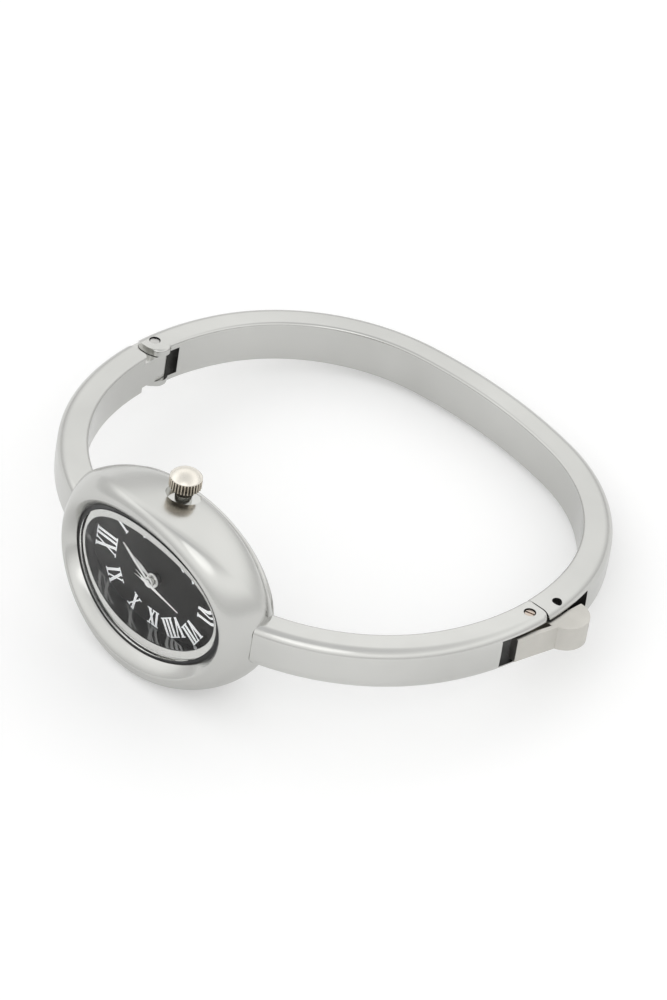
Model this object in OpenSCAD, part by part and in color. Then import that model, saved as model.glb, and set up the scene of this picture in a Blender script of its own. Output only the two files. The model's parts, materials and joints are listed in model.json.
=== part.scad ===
/* [Strap] */
// Inside of the strap's back, from the centre of the bangle
back_y = 25.1; // [23:0.1:27]
// Inside radius of the flat back stretch
back_r = 54; // [45:1:70]
// Turn of the back stretch, each side of the middle
back_turn = 10.9; // [9:0.1:13]
// Inside radius of the rounded corner stretch
corner_r = 20.7; // [19.5:0.1:22]
// Turn of the corner stretch
corner_turn = 62.2; // [59:0.1:65]
// Inside radius of the side stretch, which holds the hinge and the clasp
side_r = 27.8; // [26:0.1:30]
// Turn of the side stretch
side_turn = 37.5; // [35:0.1:40]
// Inside radius of the front stretch, which meets the case
front_r = 22.6; // [21:0.1:24]
// Thickness of the strap
strap_t = 3.35; // [2.8:0.05:3.8]
// Width of the strap
strap_w = 5.05; // [4.6:0.05:6]
// Rounding of the strap's inner edges
inner_edge_r = 0.35; // [0.2:0.05:0.6]
// Rounding of the strap's outer edges
outer_edge_r = 1.1; // [0.7:0.05:1.4]

/* [Hinge] */
// Hinge pin's place along the side stretch
hinge_at = -0.2; // [-1:0.1:1]
// Radius of the hinge, screw and latch pins
pin_r = 0.55; // [0.4:0.05:0.7]
// Height of the slot between a fork's ears
slot_w = 3.4; // [3:0.05:3.6]
// Radius of the hinge ears about the pin
ear_r = 2.2; // [1.9:0.05:2.4]
// How far the hinge ears stand above the strap's edges
ear_over = 0.12; // [0:0.02:0.2]
// Radius of the arm's tongue about the pin
tongue_r = 1.62; // [1.3:0.01:1.65]

/* [Clasp] */
// Screw pin's place along the side stretch
screw_at = 0.3; // [-0.5:0.1:0.8]
// End of the 6 o'clock arm, past the screw pin
arm_tip = 1.4; // [1.2:0.1:1.8]
// Rounding of the arm's end, seen from above
tip_r = 0.8; // [0.4:0.1:1]
// Slot's end in the arm, short of the screw pin
arm_slot = 5.9; // [5:0.1:7]
// Latch pin's place, past the end of the arm
latch_past = 2.3; // [1.8:0.1:3]
// Slot's end in the back arc, past the end of the arm
arc_slot = 6.3; // [5.8:0.1:7]
// Height of the clasp lever
lever_w = 2.9; // [2.4:0.05:3]
// Radius of the lever's round thumb lobe
lobe_r = 1.5; // [1.2:0.05:1.7]
// Radius of the lever's hub about the screw pin
hub_r = 1.15; // [1:0.05:1.3]
// Wall of the lever's plate
plate_t = 1.0; // [0.8:0.05:1.3]

/* [Case] */
// Half length of the case, 12 to 6 o'clock
case_a = 14.6; // [14:0.1:16]
// Half width of the case, 9 to 3 o'clock
case_b = 10.5; // [10.2:0.1:12]
// Height of the shell's widest line above its rear edge, at 3 o'clock
crest_h = 7.25; // [6.6:0.05:7.6]
// Drop of the widest line towards 12 and 6 o'clock
crest_bow = 5.4; // [4.6:0.1:5.8]
// Height of the front ridge above the rear edge
ridge_h = 8.25; // [7.9:0.05:8.6]
// How far the rear edge draws in at 12 and 6 o'clock
rear_in_a = 2.0; // [1.5:0.1:2.4]
// How far the rear edge draws in at 3 and 9 o'clock
rear_in_b = 0.8; // [0.4:0.1:1]
// Half length of the crystal opening
lip_a = 11.1; // [10.8:0.1:11.4]
// Half width of the crystal opening
lip_b = 7.8; // [7.4:0.1:8]
// Height of the opening's lip above the rear edge
lip_h = 6.8; // [6.5:0.1:7]
// Bow of the lip and crystal along 12 to 6 o'clock
lip_bow = 1.4; // [1:0.1:1.6]
// Thickness of the crystal
crystal_t = 0.6; // [0.5:0.05:0.8]
// Width of the crystal gasket at 12 and 6 o'clock
gasket_w = 0.75; // [0.6:0.05:0.8]
// Half length of the dial ring's window
window_a = 9.85; // [9.4:0.05:10.2]
// Half width of the dial ring's window
window_b = 6.2; // [5.9:0.05:6.6]
// Height of the dial's face above the rear edge
dial_h = 3.9; // [3.8:0.05:4]
// Thickness of the dial
dial_t = 0.35; // [0.2:0.05:0.4]
// Thickness of the rim plate behind the shell
rim_t = 0.5; // [0.4:0.05:0.7]
// Thickness of the caseback's flange
back_t = 0.5; // [0.4:0.05:0.8]

/* [Crown] */
// Height of the stem's axis above the shell's rear edge
stem_h = 1.8; // [1.77:0.01:1.83]
// Radius of the crown over its ribs
crown_r = 1.75; // [1.5:0.05:1.85]
// Height of the ribbed band
crown_h = 1.15; // [1.1:0.05:1.3]
// Height of the crown's domed cap
dome_h = 1.55; // [1:0.05:1.7]
// Number of ribs
crown_ribs = 36; // [24:1:48]
// Radius of the recess round the crown
recess_r = 2.05; // [2:0.05:2.2]
// Travel of the crown from setting to home
crown_travel = 0.75; // [0.6:0.05:0.75]
// Radius of the stem
stem_r = 0.4; // [0.35:0.01:0.42]

/* [Hands] */
// Length of the minute hand
minute_len = 5.0; // [4.6:0.1:5.6]
// Length of the hour hand
hour_len = 3.6; // [3.2:0.1:4]
// Length of the second hand
second_len = 4.9; // [4.4:0.1:5.4]
// Angle of the hour and minute hands from 12 o'clock
time_angle = 31; // [0:1:90]
// Angle of the second hand from 12 o'clock
second_angle = 190; // [120:1:240]

/* [Movement] */
// Half length of the movement
move_a = 8.8; // [8.6:0.1:9.2]
// Half width of the movement
move_b = 7.4; // [7.2:0.1:7.5]
// Tooth module of the motion work
motion_m = 0.09; // [0.086:0.001:0.092]
// Tooth module of the seconds train
train_m = 0.08; // [0.076:0.001:0.081]
// Radius of the battery
battery_r = 2.9; // [2.6:0.05:2.95]
// Thickness of the battery
battery_t = 1.65; // [1.4:0.05:1.7]
// Radius of the coil's winding
coil_r = 0.85; // [0.7:0.05:0.88]

/* [Clearances] */
// Running clearance of pins, pipes and arbors
run = 0.05; // [0.03:0.01:0.06]
// Clearance beside moving pieces of the strap
gap = 0.15; // [0.1:0.01:0.2]
// Clearance between pieces laid in the case
lay = 0.05; // [0.03:0.01:0.08]

/* [Hidden] */
$fn = 96;

big = 80;
eps = 0.01;

// The strap's inside line: arcs that turn one way from the middle of the back to the case
strap_path = [[back_r, back_turn], [corner_r, corner_turn], [side_r, side_turn], [front_r, 60]];
function heading(k) = k == 0 ? 0 : heading(k - 1) - strap_path[k - 1][1];
function arc_centre(k) = joint_point(k) + strap_path[k][0] * [sin(heading(k)), -cos(heading(k))];
function joint_point(k) = k == 0 ? [0, back_y] : arc_centre(k - 1)
    + strap_path[k - 1][0] * [-sin(heading(k)), cos(heading(k))];
side_c = arc_centre(2);
mid_r = side_r + strap_t / 2;
// Place along the side stretch's middle line as an angle about its centre
function side_angle(s) = s / mid_r * 180 / PI;
function side_point(s, out = 0) = side_c + (mid_r + out) * [cos(side_angle(s)), sin(side_angle(s))];
hinge_p = side_point(hinge_at);
screw_p = side_point(screw_at);
arm_end = screw_at + arm_tip;
latch_p = side_point(arm_end + latch_past, 0.62);

// The case sits on the strap's front stretch
front_c = arc_centre(3);
root_x = case_a - 1.7;
root_a = acos((root_x - front_c[0]) / front_r);
arm_over_seat = 0.65;
seat_h = front_r * sin(root_a) - front_c[1] - arm_over_seat;

// The watch lies on its 9 o'clock side and on the strap's back
back_out = back_y + strap_t;
rear_b = case_b - rear_in_b;
lean = atan((rear_b - strap_w / 2) / (seat_h + back_out));

// Outlines of the case
oval_n = 2.14;
cavity_a = case_a - rear_in_a - 1.05;
cavity_b = rear_b - 1.2;
cavity_h = lip_h - lip_bow - 0.6;
bow_r = lip_a * lip_a / (2 * lip_bow);
crystal_a = lip_a - gasket_w;
crystal_b = lip_b - 1.33 * gasket_w;

// Heights in the movement
dial_low = dial_h - dial_t;
plate_low = 1.05;
plate_top = 2.35;
recess_h = 1.85;
hour_h = dial_h + 0.62;
minute_h = hour_h + 0.55;
second_h = minute_h + 0.2;
bridge_low = 0.3;
bridge_top = 0.52;
board_low = 0.08;
board_top = 0.22;
pivot_r = 0.1;

// Places in the movement, with x towards 6 o'clock and y towards 3 o'clock
minute_d = 20 * motion_m;
minute_p = [0, minute_d];
third_d = 34 * train_m;
third_p = third_d * [cos(107), sin(107)];
inter_d = 24 * train_m;
inter_p = inter_d * [cos(-33.5), sin(-33.5)];
rotor_m = 0.07;
rotor_turn = -53;
rotor_p = inter_p + 21 * rotor_m * [cos(rotor_turn), sin(rotor_turn)];
centre_m = third_d / 36;
battery_p = [-4.6, -3.0];
coil_x = 6.4;
coil_y = 3.0;
coil_h = 1.27;
stator_low = 0.88;
stator_top = 1.04;
quartz_p = [-5.0, 4.3];
screw_places = [[3.9, 4.6], [-0.9, -4.4], [4.0, 1.1]];

// The crown's heights along the stem, from the bangle's middle plane
recess_floor = cavity_b + 0.75;
crown_low = 10.8;
tube_top = crown_low - 0.3;
pinion_m = 0.075;
pinion_y = minute_d + 15 * pinion_m;

steel = [0.82, 0.82, 0.80];
nickel = [0.78, 0.75, 0.68];
black = [0.12, 0.12, 0.11];
brass = [0.80, 0.66, 0.36];

// Places

// Local to the watch: x to 6 o'clock and the clasp, -y out of the dial, z to 3 o'clock
module at_rest() {
    rotate([-lean, 0, 0]) children();
}

// Local to the case: z out of the dial from the shell's rear edge, x to 6, y to 3 o'clock
module in_case() {
    at_rest() rotate([90, 0, 0]) translate([0, 0, seat_h]) children();
}

// Outlines

module oval(a, b, n = oval_n) {
    steps = 96;
    polygon([for (i = [0:steps - 1]) let (t = 360 * i / steps, c = cos(t), s = sin(t))
        [a * sign(c) * pow(abs(c), 2 / n), b * sign(s) * pow(abs(s), 2 / n)]]);
}

module oval_ring(a, b, w, n = oval_n) {
    difference() {
        oval(a, b, n);
        oval(a - w, b - w, n);
    }
}

// A wheel's outline with its first tooth on +x
module toothed(teeth, m) {
    pitch = 360 / teeth;
    r = teeth * m / 2;
    polygon([for (i = [0:teeth - 1], p = [[-0.36, -1.15], [-0.22, 0], [-0.1, 0.85], [0.1, 0.85],
        [0.22, 0], [0.36, -1.15]]) let (t = (i + p[0]) * pitch, q = r + p[1] * m) q * [cos(t), sin(t)]]);
}

module wheel(teeth, m, t, bore = 0, turn = 0) {
    rotate([0, 0, turn]) linear_extrude(t) difference() {
        toothed(teeth, m);
        if (bore > 0) circle(bore);
    }
}

// A wheel's web cut away between its rim and hub
module spoked(teeth, m, t, bore, turn = 0) {
    rim = teeth * m / 2 - 2.6 * m;
    hub = 0.42;
    difference() {
        wheel(teeth, m, t, bore, turn);
        for (i = [0:3]) rotate([0, 0, 90 * i + 20]) translate([(rim + hub) / 2, 0, -eps])
            cylinder(h = t + 2 * eps, r = (rim - hub) / 2);
    }
}

module arbor(low, top) {
    translate([0, 0, low]) cylinder(h = top - low, r = pivot_r);
}

// Strap

// Points round one corner of the strap's section
function round_corner(x, z, r, from, to, n) =
    [for (i = [0:n]) let (t = from + (to - from) * i / n) [x + r * cos(t), z + r * sin(t)]];

// The strap's section: flat inside, slightly crowned and well rounded outside
outer_crown = 0.08;
half_w = strap_w / 2;
upper_section = concat([[strap_t, 0.5]],
    round_corner(strap_t - outer_crown - outer_edge_r, half_w - outer_edge_r, outer_edge_r, 0, 90, 6),
    round_corner(inner_edge_r, half_w - inner_edge_r, inner_edge_r, 90, 180, 3));
half_count = len(upper_section);
section = concat(upper_section,
    [for (i = [1:half_count]) [upper_section[half_count - i][0], -upper_section[half_count - i][1]]]);

// Stations along one stretch: centre, inside radius and angle
function stations(k, low, high, n, first = 0) =
    [for (i = [first:n]) [arc_centre(k)[0], arc_centre(k)[1], strap_path[k][0], low + (high - low) * i / n]];
function mirrored(list) =
    [for (i = [1:len(list)]) let (q = list[len(list) - i]) [-q[0], q[1], q[2], 180 - q[3]]];
side_top = 90 + heading(2);
side_low = side_top - side_turn;
root_steps = 14;
function arm_stations(tip) = concat(stations(3, -root_a, side_low, root_steps),
    stations(2, side_low, side_angle(tip), 8, 1));
function arc_stations(tip) = concat(stations(2, side_angle(tip), side_top, 6),
    stations(1, side_top, 90 - back_turn, 16, 1), stations(0, 90 - back_turn, 90, 5, 1));

// The strap through a list of stations
module strap(list) {
    n = len(section);
    last = (len(list) - 1) * n;
    points = [for (q = list, e = section) [q[0] + (q[2] + e[0]) * cos(q[3]),
        q[1] + (q[2] + e[0]) * sin(q[3]), e[1]]];
    sides = [for (j = [0:len(list) - 2], i = [0:n - 1], k = [0, 1]) let (m = (i + 1) % n,
        a = j * n + i, b = j * n + m, c = a + n, d = b + n)
        k == 0 ? [a, b, c] : [b, d, c]];
    polyhedron(points, concat(sides, [[for (i = [0:n - 1]) n - 1 - i]],
        [[for (i = [0:n - 1]) last + i]]));
}

module across(p, r, w) {
    translate([p[0], p[1], -w / 2]) cylinder(h = w, r = r);
}

// The space above and below a fork's slot
module beside_slot(w) {
    for (s = [0, 1]) mirror([0, 0, s]) translate([0, 0, w / 2]) children();
}

// The 12 o'clock arm, drawn on the clasp's side and mirrored
module arm_12() {
    color(steel) at_rest() mirror([1, 0, 0]) difference() {
        union() {
            strap(arm_stations(hinge_at));
            across(hinge_p, tongue_r, slot_w - gap);
        }
        beside_slot(slot_w - gap) translate(hinge_p) cylinder(h = 4, r = ear_r + gap);
        across(hinge_p, pin_r + run, 9);
    }
}

module arm_6() {
    color(steel) at_rest() difference() {
        difference() {
            strap(arm_stations(arm_end));
            translate(side_c) rotate([0, 0, side_angle(arm_end)]) translate([mid_r, 0, -4])
                for (m = [0, 1]) mirror([m, 0, 0]) linear_extrude(8) tip_corner();
        }
        slot_box(screw_at - arm_slot, arm_end + 2);
        across(screw_p, pin_r, 9);
    }
}

// What a rounded corner leaves out of the arm's square end
module tip_corner() {
    x = strap_t / 2 - tip_r;
    polygon(concat([[x, 2], [x + 4, 2], [x + 4, -tip_r]],
        [for (i = [0:6]) [x + tip_r * cos(15 * i), tip_r * sin(15 * i) - tip_r]]));
}

// A slot through the strap's thickness between two places on the side stretch
module slot_box(from, to) {
    translate([0, 0, -slot_w / 2]) linear_extrude(slot_w) polygon([side_point(from, -5),
        side_point(from, 5), side_point(to, 5), side_point(to, -5)]);
}

module back_arc() {
    arc_tip = arm_end + gap;
    far_side = mirrored(arc_stations(hinge_at));
    color(steel) at_rest() difference() {
        union() {
            difference() {
                strap(concat(arc_stations(arc_tip), [for (i = [1:len(far_side) - 1]) far_side[i]]));
                slot_box(arc_tip - 1, arm_end + arc_slot);
                mirror([1, 0, 0]) slot_box(hinge_at - 1, hinge_at + tongue_r + 2 * gap);
            }
            mirror([1, 0, 0]) beside_slot(slot_w) linear_extrude((strap_w - slot_w) / 2 + ear_over)
                intersection() {
                    translate(hinge_p) circle(ear_r);
                    translate(side_c) circle(side_r + strap_t - 0.1);
                }
        }
        across(latch_p, pin_r, 9);
        mirror([1, 0, 0]) across(hinge_p, pin_r, 9);
    }
}

module hinge_pin() {
    color(steel) at_rest() mirror([1, 0, 0]) across(hinge_p, pin_r, strap_w + 2 * ear_over - 0.1);
}

module latch_pin() {
    color(steel) at_rest() across(latch_p, pin_r, strap_w - 0.9);
}

// The screw pin has a driver slot in its upper end
module clasp_screw() {
    color(steel) at_rest() difference() {
        across(screw_p, pin_r, strap_w - 0.2);
        translate([screw_p[0] - 1, screw_p[1] - 0.11, strap_w / 2 - 0.4]) cube([2, 0.22, 1]);
    }
}

// The lever's lobe stands out past the strap, with its plate leaning out to meet it
lobe_p = latch_p + [2.1, 1.2];
tail_p = screw_p + [1.5, -3.4];
lever_wall = latch_p[0] + pin_r + 2.5 * gap;
module lever_shape() {
    difference() {
        union() {
            linear_extrude(lever_w) polygon([tail_p, screw_p + [2.7, 1.6], screw_p + [2.95, 2.8],
                lobe_p + lobe_r * [cos(-35), sin(-35)], lobe_p, [lever_wall - 0.5, latch_p[1] - 1.3],
                screw_p + [0.1, 0.6], screw_p + [0.1, -0.4], tail_p + [-plate_t, 0.1]]);
            translate(screw_p) cylinder(h = lever_w, r = hub_r);
            translate(lobe_p) cylinder(h = lever_w, r = lobe_r);
        }
        translate([lever_wall - 3, latch_p[1] - 1.1, -1]) cube([3, 6, lever_w + 2]);
        translate([screw_p[0], screw_p[1], -1]) cylinder(h = lever_w + 2, r = pin_r + run);
    }
}

module clasp_lever() {
    color(nickel) at_rest() translate([0, 0, -lever_w / 2]) lever_shape();
}

// A split spring ring that the latch pin snaps into, open towards the wrist
module catch_spring() {
    w = 1.6;
    color(nickel) at_rest() translate([latch_p[0], latch_p[1], -w / 2]) linear_extrude(w) difference() {
        union() {
            circle(pin_r + 0.3);
            translate([0, -0.3]) square([lever_wall - latch_p[0], 0.6]);
        }
        circle(pin_r + run);
        translate([-4.1, -4]) square([4, 8]);
    }
}

// Case

// Rows of the shell from its rear edge, t = -1, over its widest line, t = 0, to its ridge, t = 1
ridge_a = lip_a + 0.5;
ridge_b = lip_b + 0.5;
front_n = 1.45;
function row(t) = t < 0
    ? let (f = 1 - sqrt(1 - t * t)) [case_a - rear_in_a * f, case_b - rear_in_b * f, oval_n,
        crest_h * (1 + t), crest_bow * (1 + t)]
    : let (f = pow(cos(90 * t), 2 / front_n), g = pow(sin(90 * t), 2 / front_n))
        [ridge_a + (case_a - ridge_a) * f, ridge_b + (case_b - ridge_b) * f, 2 + (oval_n - 2) * f,
        crest_h + (ridge_h - crest_h) * g, crest_bow + (lip_bow - crest_bow) * g];
shell_rows = concat([for (t = [-1, -0.93, -0.8, -0.6, -0.3, 0, 0.16, 0.32, 0.48, 0.64, 0.82]) row(t)],
    [[ridge_a, ridge_b, 2, ridge_h, lip_bow], [lip_a + 0.12, lip_b + 0.12, 2, lip_h + 0.9, lip_bow],
    [lip_a - 0.15, lip_b - 0.15, 2, lip_h, lip_bow]]);

module shell_solid() {
    steps = 72;
    rows = len(shell_rows);
    last = rows * steps;
    points = [for (q = shell_rows, i = [0:steps - 1]) let (t = 360 * i / steps, c = cos(t), s = sin(t),
        x = sign(c) * pow(abs(c), 2 / q[2]))
        [q[0] * x, q[1] * sign(s) * pow(abs(s), 2 / q[2]), q[3] - q[4] * x * x]];
    sides = [for (j = [0:rows - 2], i = [0:steps - 1], k = [0, 1]) let (n = (i + 1) % steps,
        a = j * steps + i, b = j * steps + n, c = a + steps, d = b + steps)
        k == 0 ? [a, c, b] : [b, c, d]];
    low = [[for (i = [0:steps - 1]) i]];
    high = [for (i = [0:steps - 1]) [last, last - steps + (i + 1) % steps, last - steps + i]];
    polyhedron(concat(points, [[0, 0, lip_h]]), concat(sides, low, high));
}

module strap_roots() {
    roots = [for (i = [0:8]) arm_stations(0)[i]];
    rotate([-90, 0, 0]) translate([0, seat_h, 0]) for (s = [0, 1]) mirror([s, 0, 0]) strap(roots);
}

module case_shell() {
    color(steel) in_case() difference() {
        shell_solid();
        translate([0, 0, -eps]) linear_extrude(cavity_h + eps) oval(cavity_a, cavity_b);
        linear_extrude(20) oval(lip_a, lip_b, 2);
        strap_roots();
        along_stem(recess_floor, 20, recess_r);
        along_stem(5, 20, tube_r);
    }
}

module along_stem(low, high, r) {
    translate([0, low, stem_h]) rotate([-90, 0, 0]) cylinder(h = high - low, r = r);
}

module rim_plate() {
    color(steel) in_case() translate([0, 0, -rim_t]) linear_extrude(rim_t) difference() {
        oval(case_a - rear_in_a + 0.5, rear_b - 0.15);
        oval(plug_a + lay, plug_b + lay);
    }
}

plug_a = cavity_a - 0.9;
plug_b = cavity_b - 0.9;
seal_t = 0.1;
module caseback() {
    color(steel) in_case() {
        translate([0, 0, -rim_t - seal_t]) linear_extrude(rim_t + seal_t - lay) oval(plug_a, plug_b);
        translate([0, 0, -rim_t - seal_t - back_t]) linear_extrude(back_t) oval(plug_a + 0.9, plug_b + 0.9);
    }
}

module caseback_gasket() {
    color(black) in_case() translate([0, 0, -rim_t - seal_t]) linear_extrude(seal_t)
        oval_ring(plug_a + 0.7, plug_b + 0.7, 0.55);
}

// A slab between two bowed surfaces, its top at height h and its thickness t
module bowed(h, t) {
    translate([0, 0, h - bow_r]) rotate([90, 0, 0]) translate([0, 0, -big / 2]) difference() {
        cylinder(h = big, r = bow_r, $fn = 200);
        translate([0, 0, -1]) cylinder(h = big + 2, r = bow_r - t, $fn = 200);
    }
}

module crystal() {
    color([0.9, 0.95, 0.95, 0.3]) in_case() intersection() {
        linear_extrude(lip_h + 2) oval(crystal_a, crystal_b, 2);
        bowed(lip_h, crystal_t);
    }
}

module crystal_gasket() {
    color(black) in_case() intersection() {
        linear_extrude(lip_h + 2) difference() {
            oval(lip_a, lip_b, 2);
            oval(crystal_a, crystal_b, 2);
        }
        bowed(lip_h - 0.15, crystal_t - 0.15);
    }
}

// The polished wall between dial and crystal: a foot under the shell and a collar up to the crystal
module dial_ring() {
    color(steel) in_case() difference() {
        union() {
            translate([0, 0, dial_h]) linear_extrude(cavity_h - dial_h - lay)
                oval(cavity_a - lay, cavity_b - lay);
            translate([0, 0, dial_h]) linear_extrude(lip_h) oval(lip_a - 0.15, lip_b - 0.15, 2);
        }
        translate([0, 0, -eps]) linear_extrude(lip_h * 2) oval(window_a, window_b, 2.03);
        translate([0, 0, lip_h - crystal_t - lay]) above_bow();
    }
}

// Everything above the crystal's underside
module above_bow() {
    r = bow_r - crystal_t - lay;
    difference() {
        translate([-big / 2, -big / 2, -12]) cube([big, big, 30]);
        translate([0, big / 2 + 1, -r]) rotate([90, 0, 0]) cylinder(h = big + 2, r = r, $fn = 200);
    }
}

module dial() {
    color(black) in_case() translate([0, 0, dial_low]) linear_extrude(dial_t) difference() {
        oval(cavity_a - lay, cavity_b - lay);
        circle(hour_pipe_r + 0.08);
    }
}

// The dial rests on a ring that stands on the movement
module dial_spacer() {
    color([0.9, 0.9, 0.86]) in_case() translate([0, 0, plate_top + lay])
        linear_extrude(dial_low - plate_top - 2 * lay) difference() {
            oval(move_a, move_b, 2.3);
            oval(move_a - 1.2, move_b - 1.2, 2.3);
        }
}

// Hands

hour_pipe_r = 0.62;
cannon_r = 0.42;
second_r = 0.19;

// A lance hand that points along -x, with a round boss
module lance(length, width, boss, bore) {
    linear_extrude(0.1) difference() {
        union() {
            polygon([[0, 0.12], [-length * 0.55, width / 2], [-length, 0.03], [-length, -0.03],
                [-length * 0.55, -width / 2], [0, -0.12]]);
            circle(boss);
        }
        circle(bore);
    }
}

module hour_hand() {
    color(steel) in_case() translate([0, 0, hour_h]) rotate([0, 0, -time_angle])
        lance(hour_len, 0.5, hour_pipe_r + 0.2, hour_pipe_r);
}

module minute_hand() {
    color(steel) in_case() translate([0, 0, minute_h]) rotate([0, 0, -time_angle])
        lance(minute_len, 0.55, cannon_r + 0.2, cannon_r);
}

module second_hand() {
    color(steel) in_case() translate([0, 0, second_h]) rotate([0, 0, -second_angle]) {
        linear_extrude(0.08) {
            polygon([[1.45, 0.24], [0.5, 0.1], [-second_len, 0.05], [-second_len, -0.05],
                [0.5, -0.1], [1.45, -0.24]]);
            circle(0.36);
        }
        translate([0, 0, 0.06]) cylinder(h = 0.1, r = 0.26);
    }
}

// Crown

tube_r = 0.95;
tube_bore = stem_r + run;
skirt_r = 1.2;
module crown() {
    color(nickel) in_case() translate([0, crown_low, stem_h]) rotate([-90, 0, 0]) {
        difference() {
            union() {
                linear_extrude(crown_h) polygon([for (i = [0:crown_ribs - 1], p = [[0, 0.13], [0.22, 0.13],
                    [0.34, 0], [0.88, 0]]) let (t = (i + p[0]) * 360 / crown_ribs)
                    (crown_r - p[1]) * [cos(t), sin(t)]]);
                translate([0, 0, -0.35]) cylinder(h = 0.4, r = skirt_r);
            }
            translate([0, 0, -1]) cylinder(h = 1 + crown_h - 0.15, r = tube_r + run);
        }
        translate([0, 0, crown_h]) rotate_extrude() crown_dome();
    }
}

// The cap's half section: a short straight edge under one arc
module crown_dome() {
    r = crown_r - 0.05;
    edge = 0.2;
    rise = dome_h - edge;
    ball = (r * r + rise * rise) / (2 * rise);
    square([r, edge]);
    intersection() {
        translate([0, edge + rise - ball]) circle(ball);
        translate([0, edge - eps]) square([r, rise + 1]);
    }
}

neck_r = 0.22;
// The stem runs from the crown to the pinion that turns the minute wheel
module stem() {
    low = pinion_y + 0.2;
    color(nickel) in_case() translate([0, 0, stem_h]) rotate([-90, 0, 0]) difference() {
        union() {
            translate([0, 0, low + 1]) cylinder(h = crown_low + crown_h - 1.15 - low, r = stem_r);
            translate([0, 0, low]) cylinder(h = 1.1, r = neck_r);
            translate([0, 0, low - 0.4]) wheel(8, pinion_m, 0.4 + eps);
        }
        translate([0, 0, move_b - 2.2]) difference() {
            cylinder(h = 0.4, r = 1);
            translate([0, 0, -eps]) cylinder(h = 1, r = stem_r - 0.12);
        }
    }
}

module crown_tube() {
    color(steel) in_case() translate([0, 0, stem_h]) rotate([-90, 0, 0]) difference() {
        translate([0, 0, cavity_b - 0.1]) cylinder(h = tube_top - cavity_b + 0.1, r = tube_r);
        cylinder(h = 20, r = tube_bore);
        translate([0, 0, tube_top - 0.35]) cylinder(h = 1, r = tube_r - 0.2);
    }
}

module crown_gasket() {
    color(black) in_case() translate([0, tube_top - 0.35, stem_h]) rotate([-90, 0, 0])
        linear_extrude(0.25) difference() {
            circle(tube_r - 0.2);
            circle(stem_r + 0.02);
        }
}

// Movement

module movement_holder() {
    color([0.9, 0.9, 0.86]) in_case() difference() {
        translate([0, 0, lay]) linear_extrude(dial_low - 2 * lay) difference() {
            oval(cavity_a - lay, cavity_b - lay);
            oval(move_a + lay, move_b + lay, 2.3);
        }
        along_stem(move_b - 1, cavity_b + 1, tube_r + lay);
    }
}

module pocket(p, r, low, high) {
    translate([p[0], p[1], low]) cylinder(h = high - low, r = r);
}

module main_plate() {
    color(brass) in_case() difference() {
        translate([0, 0, plate_low]) linear_extrude(plate_top - plate_low) oval(move_a, move_b, 2.3);
        pocket([0, 0.9], 2.6, recess_h, 5);
        pocket([0, 0], cannon_r, 0, 5);
        pocket(battery_p, battery_r + lay, 0, board_low + battery_t + 0.1);
        translate([coil_x - coil_r - 0.1, -coil_y - 0.1, 0])
            cube([2 * coil_r + 0.2, 2 * coil_y + 0.2, coil_h + coil_r + 0.05]);
        translate([coil_x - 0.35, -4.1, 0]) cube([0.7, 8.2, coil_h + 0.3]);
        translate([quartz_p[0] - 1.9, quartz_p[1] - 0.65, 0]) cube([3.8, 1.3, 1.5]);
        along_stem(pinion_y - 1.2, move_b + 1, stem_r + run);
        translate([-0.55, pinion_y - 1.2, stem_h - 0.5]) cube([1.1, 1.9, 2]);
        translate([-0.8, move_b - 2.9, recess_h - 0.6]) cube([2.6, 1.9, 3]);
        for (p = [third_p, inter_p, rotor_p, minute_p]) pocket(p, pivot_r + run, 0, 5);
        for (p = screw_places) pocket(p, 0.2, 0, 5);
    }
}

// The slide that moves in and out with the stem and holds it by its groove
module setting_slide() {
    color(steel) in_case() difference() {
        translate([-0.7, move_b - 2.1, stem_h - 0.48]) cube([2.2, 0.2, 1.0]);
        translate([0, move_b - 3, stem_h]) rotate([-90, 0, 0]) cylinder(h = 2, r = stem_r - 0.12 + run);
        translate([-stem_r + 0.12 - run, move_b - 3, stem_h]) cube([2 * (stem_r - 0.12 + run), 2, 3]);
    }
}

module train_bridge() {
    color(brass) in_case() difference() {
        translate([0, 0, bridge_low]) linear_extrude(bridge_top - bridge_low) intersection() {
            oval(move_a - 0.3, move_b - 0.3, 2.3);
            difference() {
                translate([-3.1, -5]) square([8.3, 10.6]);
                translate(battery_p) circle(battery_r + 0.15);
            }
        }
        for (p = [[0, 0], third_p, inter_p, rotor_p]) pocket(p, pivot_r + run, 0, 1);
        for (p = screw_places) pocket(p, 0.2, 0, 1);
    }
}

module bridge_screws() {
    color(steel) in_case() for (p = screw_places) translate([p[0], p[1], 0]) difference() {
        union() {
            translate([0, 0, board_top + lay]) cylinder(h = bridge_low - board_top - lay, r = 0.32);
            translate([0, 0, board_top + lay]) cylinder(h = 1.5, r = 0.2);
        }
        translate([-0.5, -0.04, board_top]) cube([1, 0.08, 0.07]);
    }
}

module circuit_board() {
    color([0.15, 0.4, 0.2]) in_case() translate([0, 0, board_low]) linear_extrude(board_top - board_low)
        difference() {
            oval(move_a - 0.2, move_b - 0.2, 2.3);
            translate(battery_p) circle(battery_r + 0.15);
            translate([-9, -9]) square([4.4, 10]);
        }
}

module driver_chip() {
    color(black) in_case() translate([3.2, -6.4, board_top]) cube([1.3, 1.3, 0.45]);
}

module quartz_can() {
    color(steel) in_case() translate([quartz_p[0] - 1.8, quartz_p[1], 0.85]) rotate([0, 90, 0])
        cylinder(h = 3.6, r = 0.55);
}

module battery() {
    color([0.75, 0.75, 0.73]) in_case() {
        pocket(battery_p, battery_r, board_low + 0.05, board_low + battery_t - 0.15);
        pocket(battery_p, battery_r - 0.35, board_low, board_low + battery_t);
    }
}

module battery_strap() {
    color(steel) in_case() translate([battery_p[0] - 0.6, battery_p[1] - 2.4, lay / 2])
        cube([1.2, 7.2, board_low - lay / 2]);
}

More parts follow.
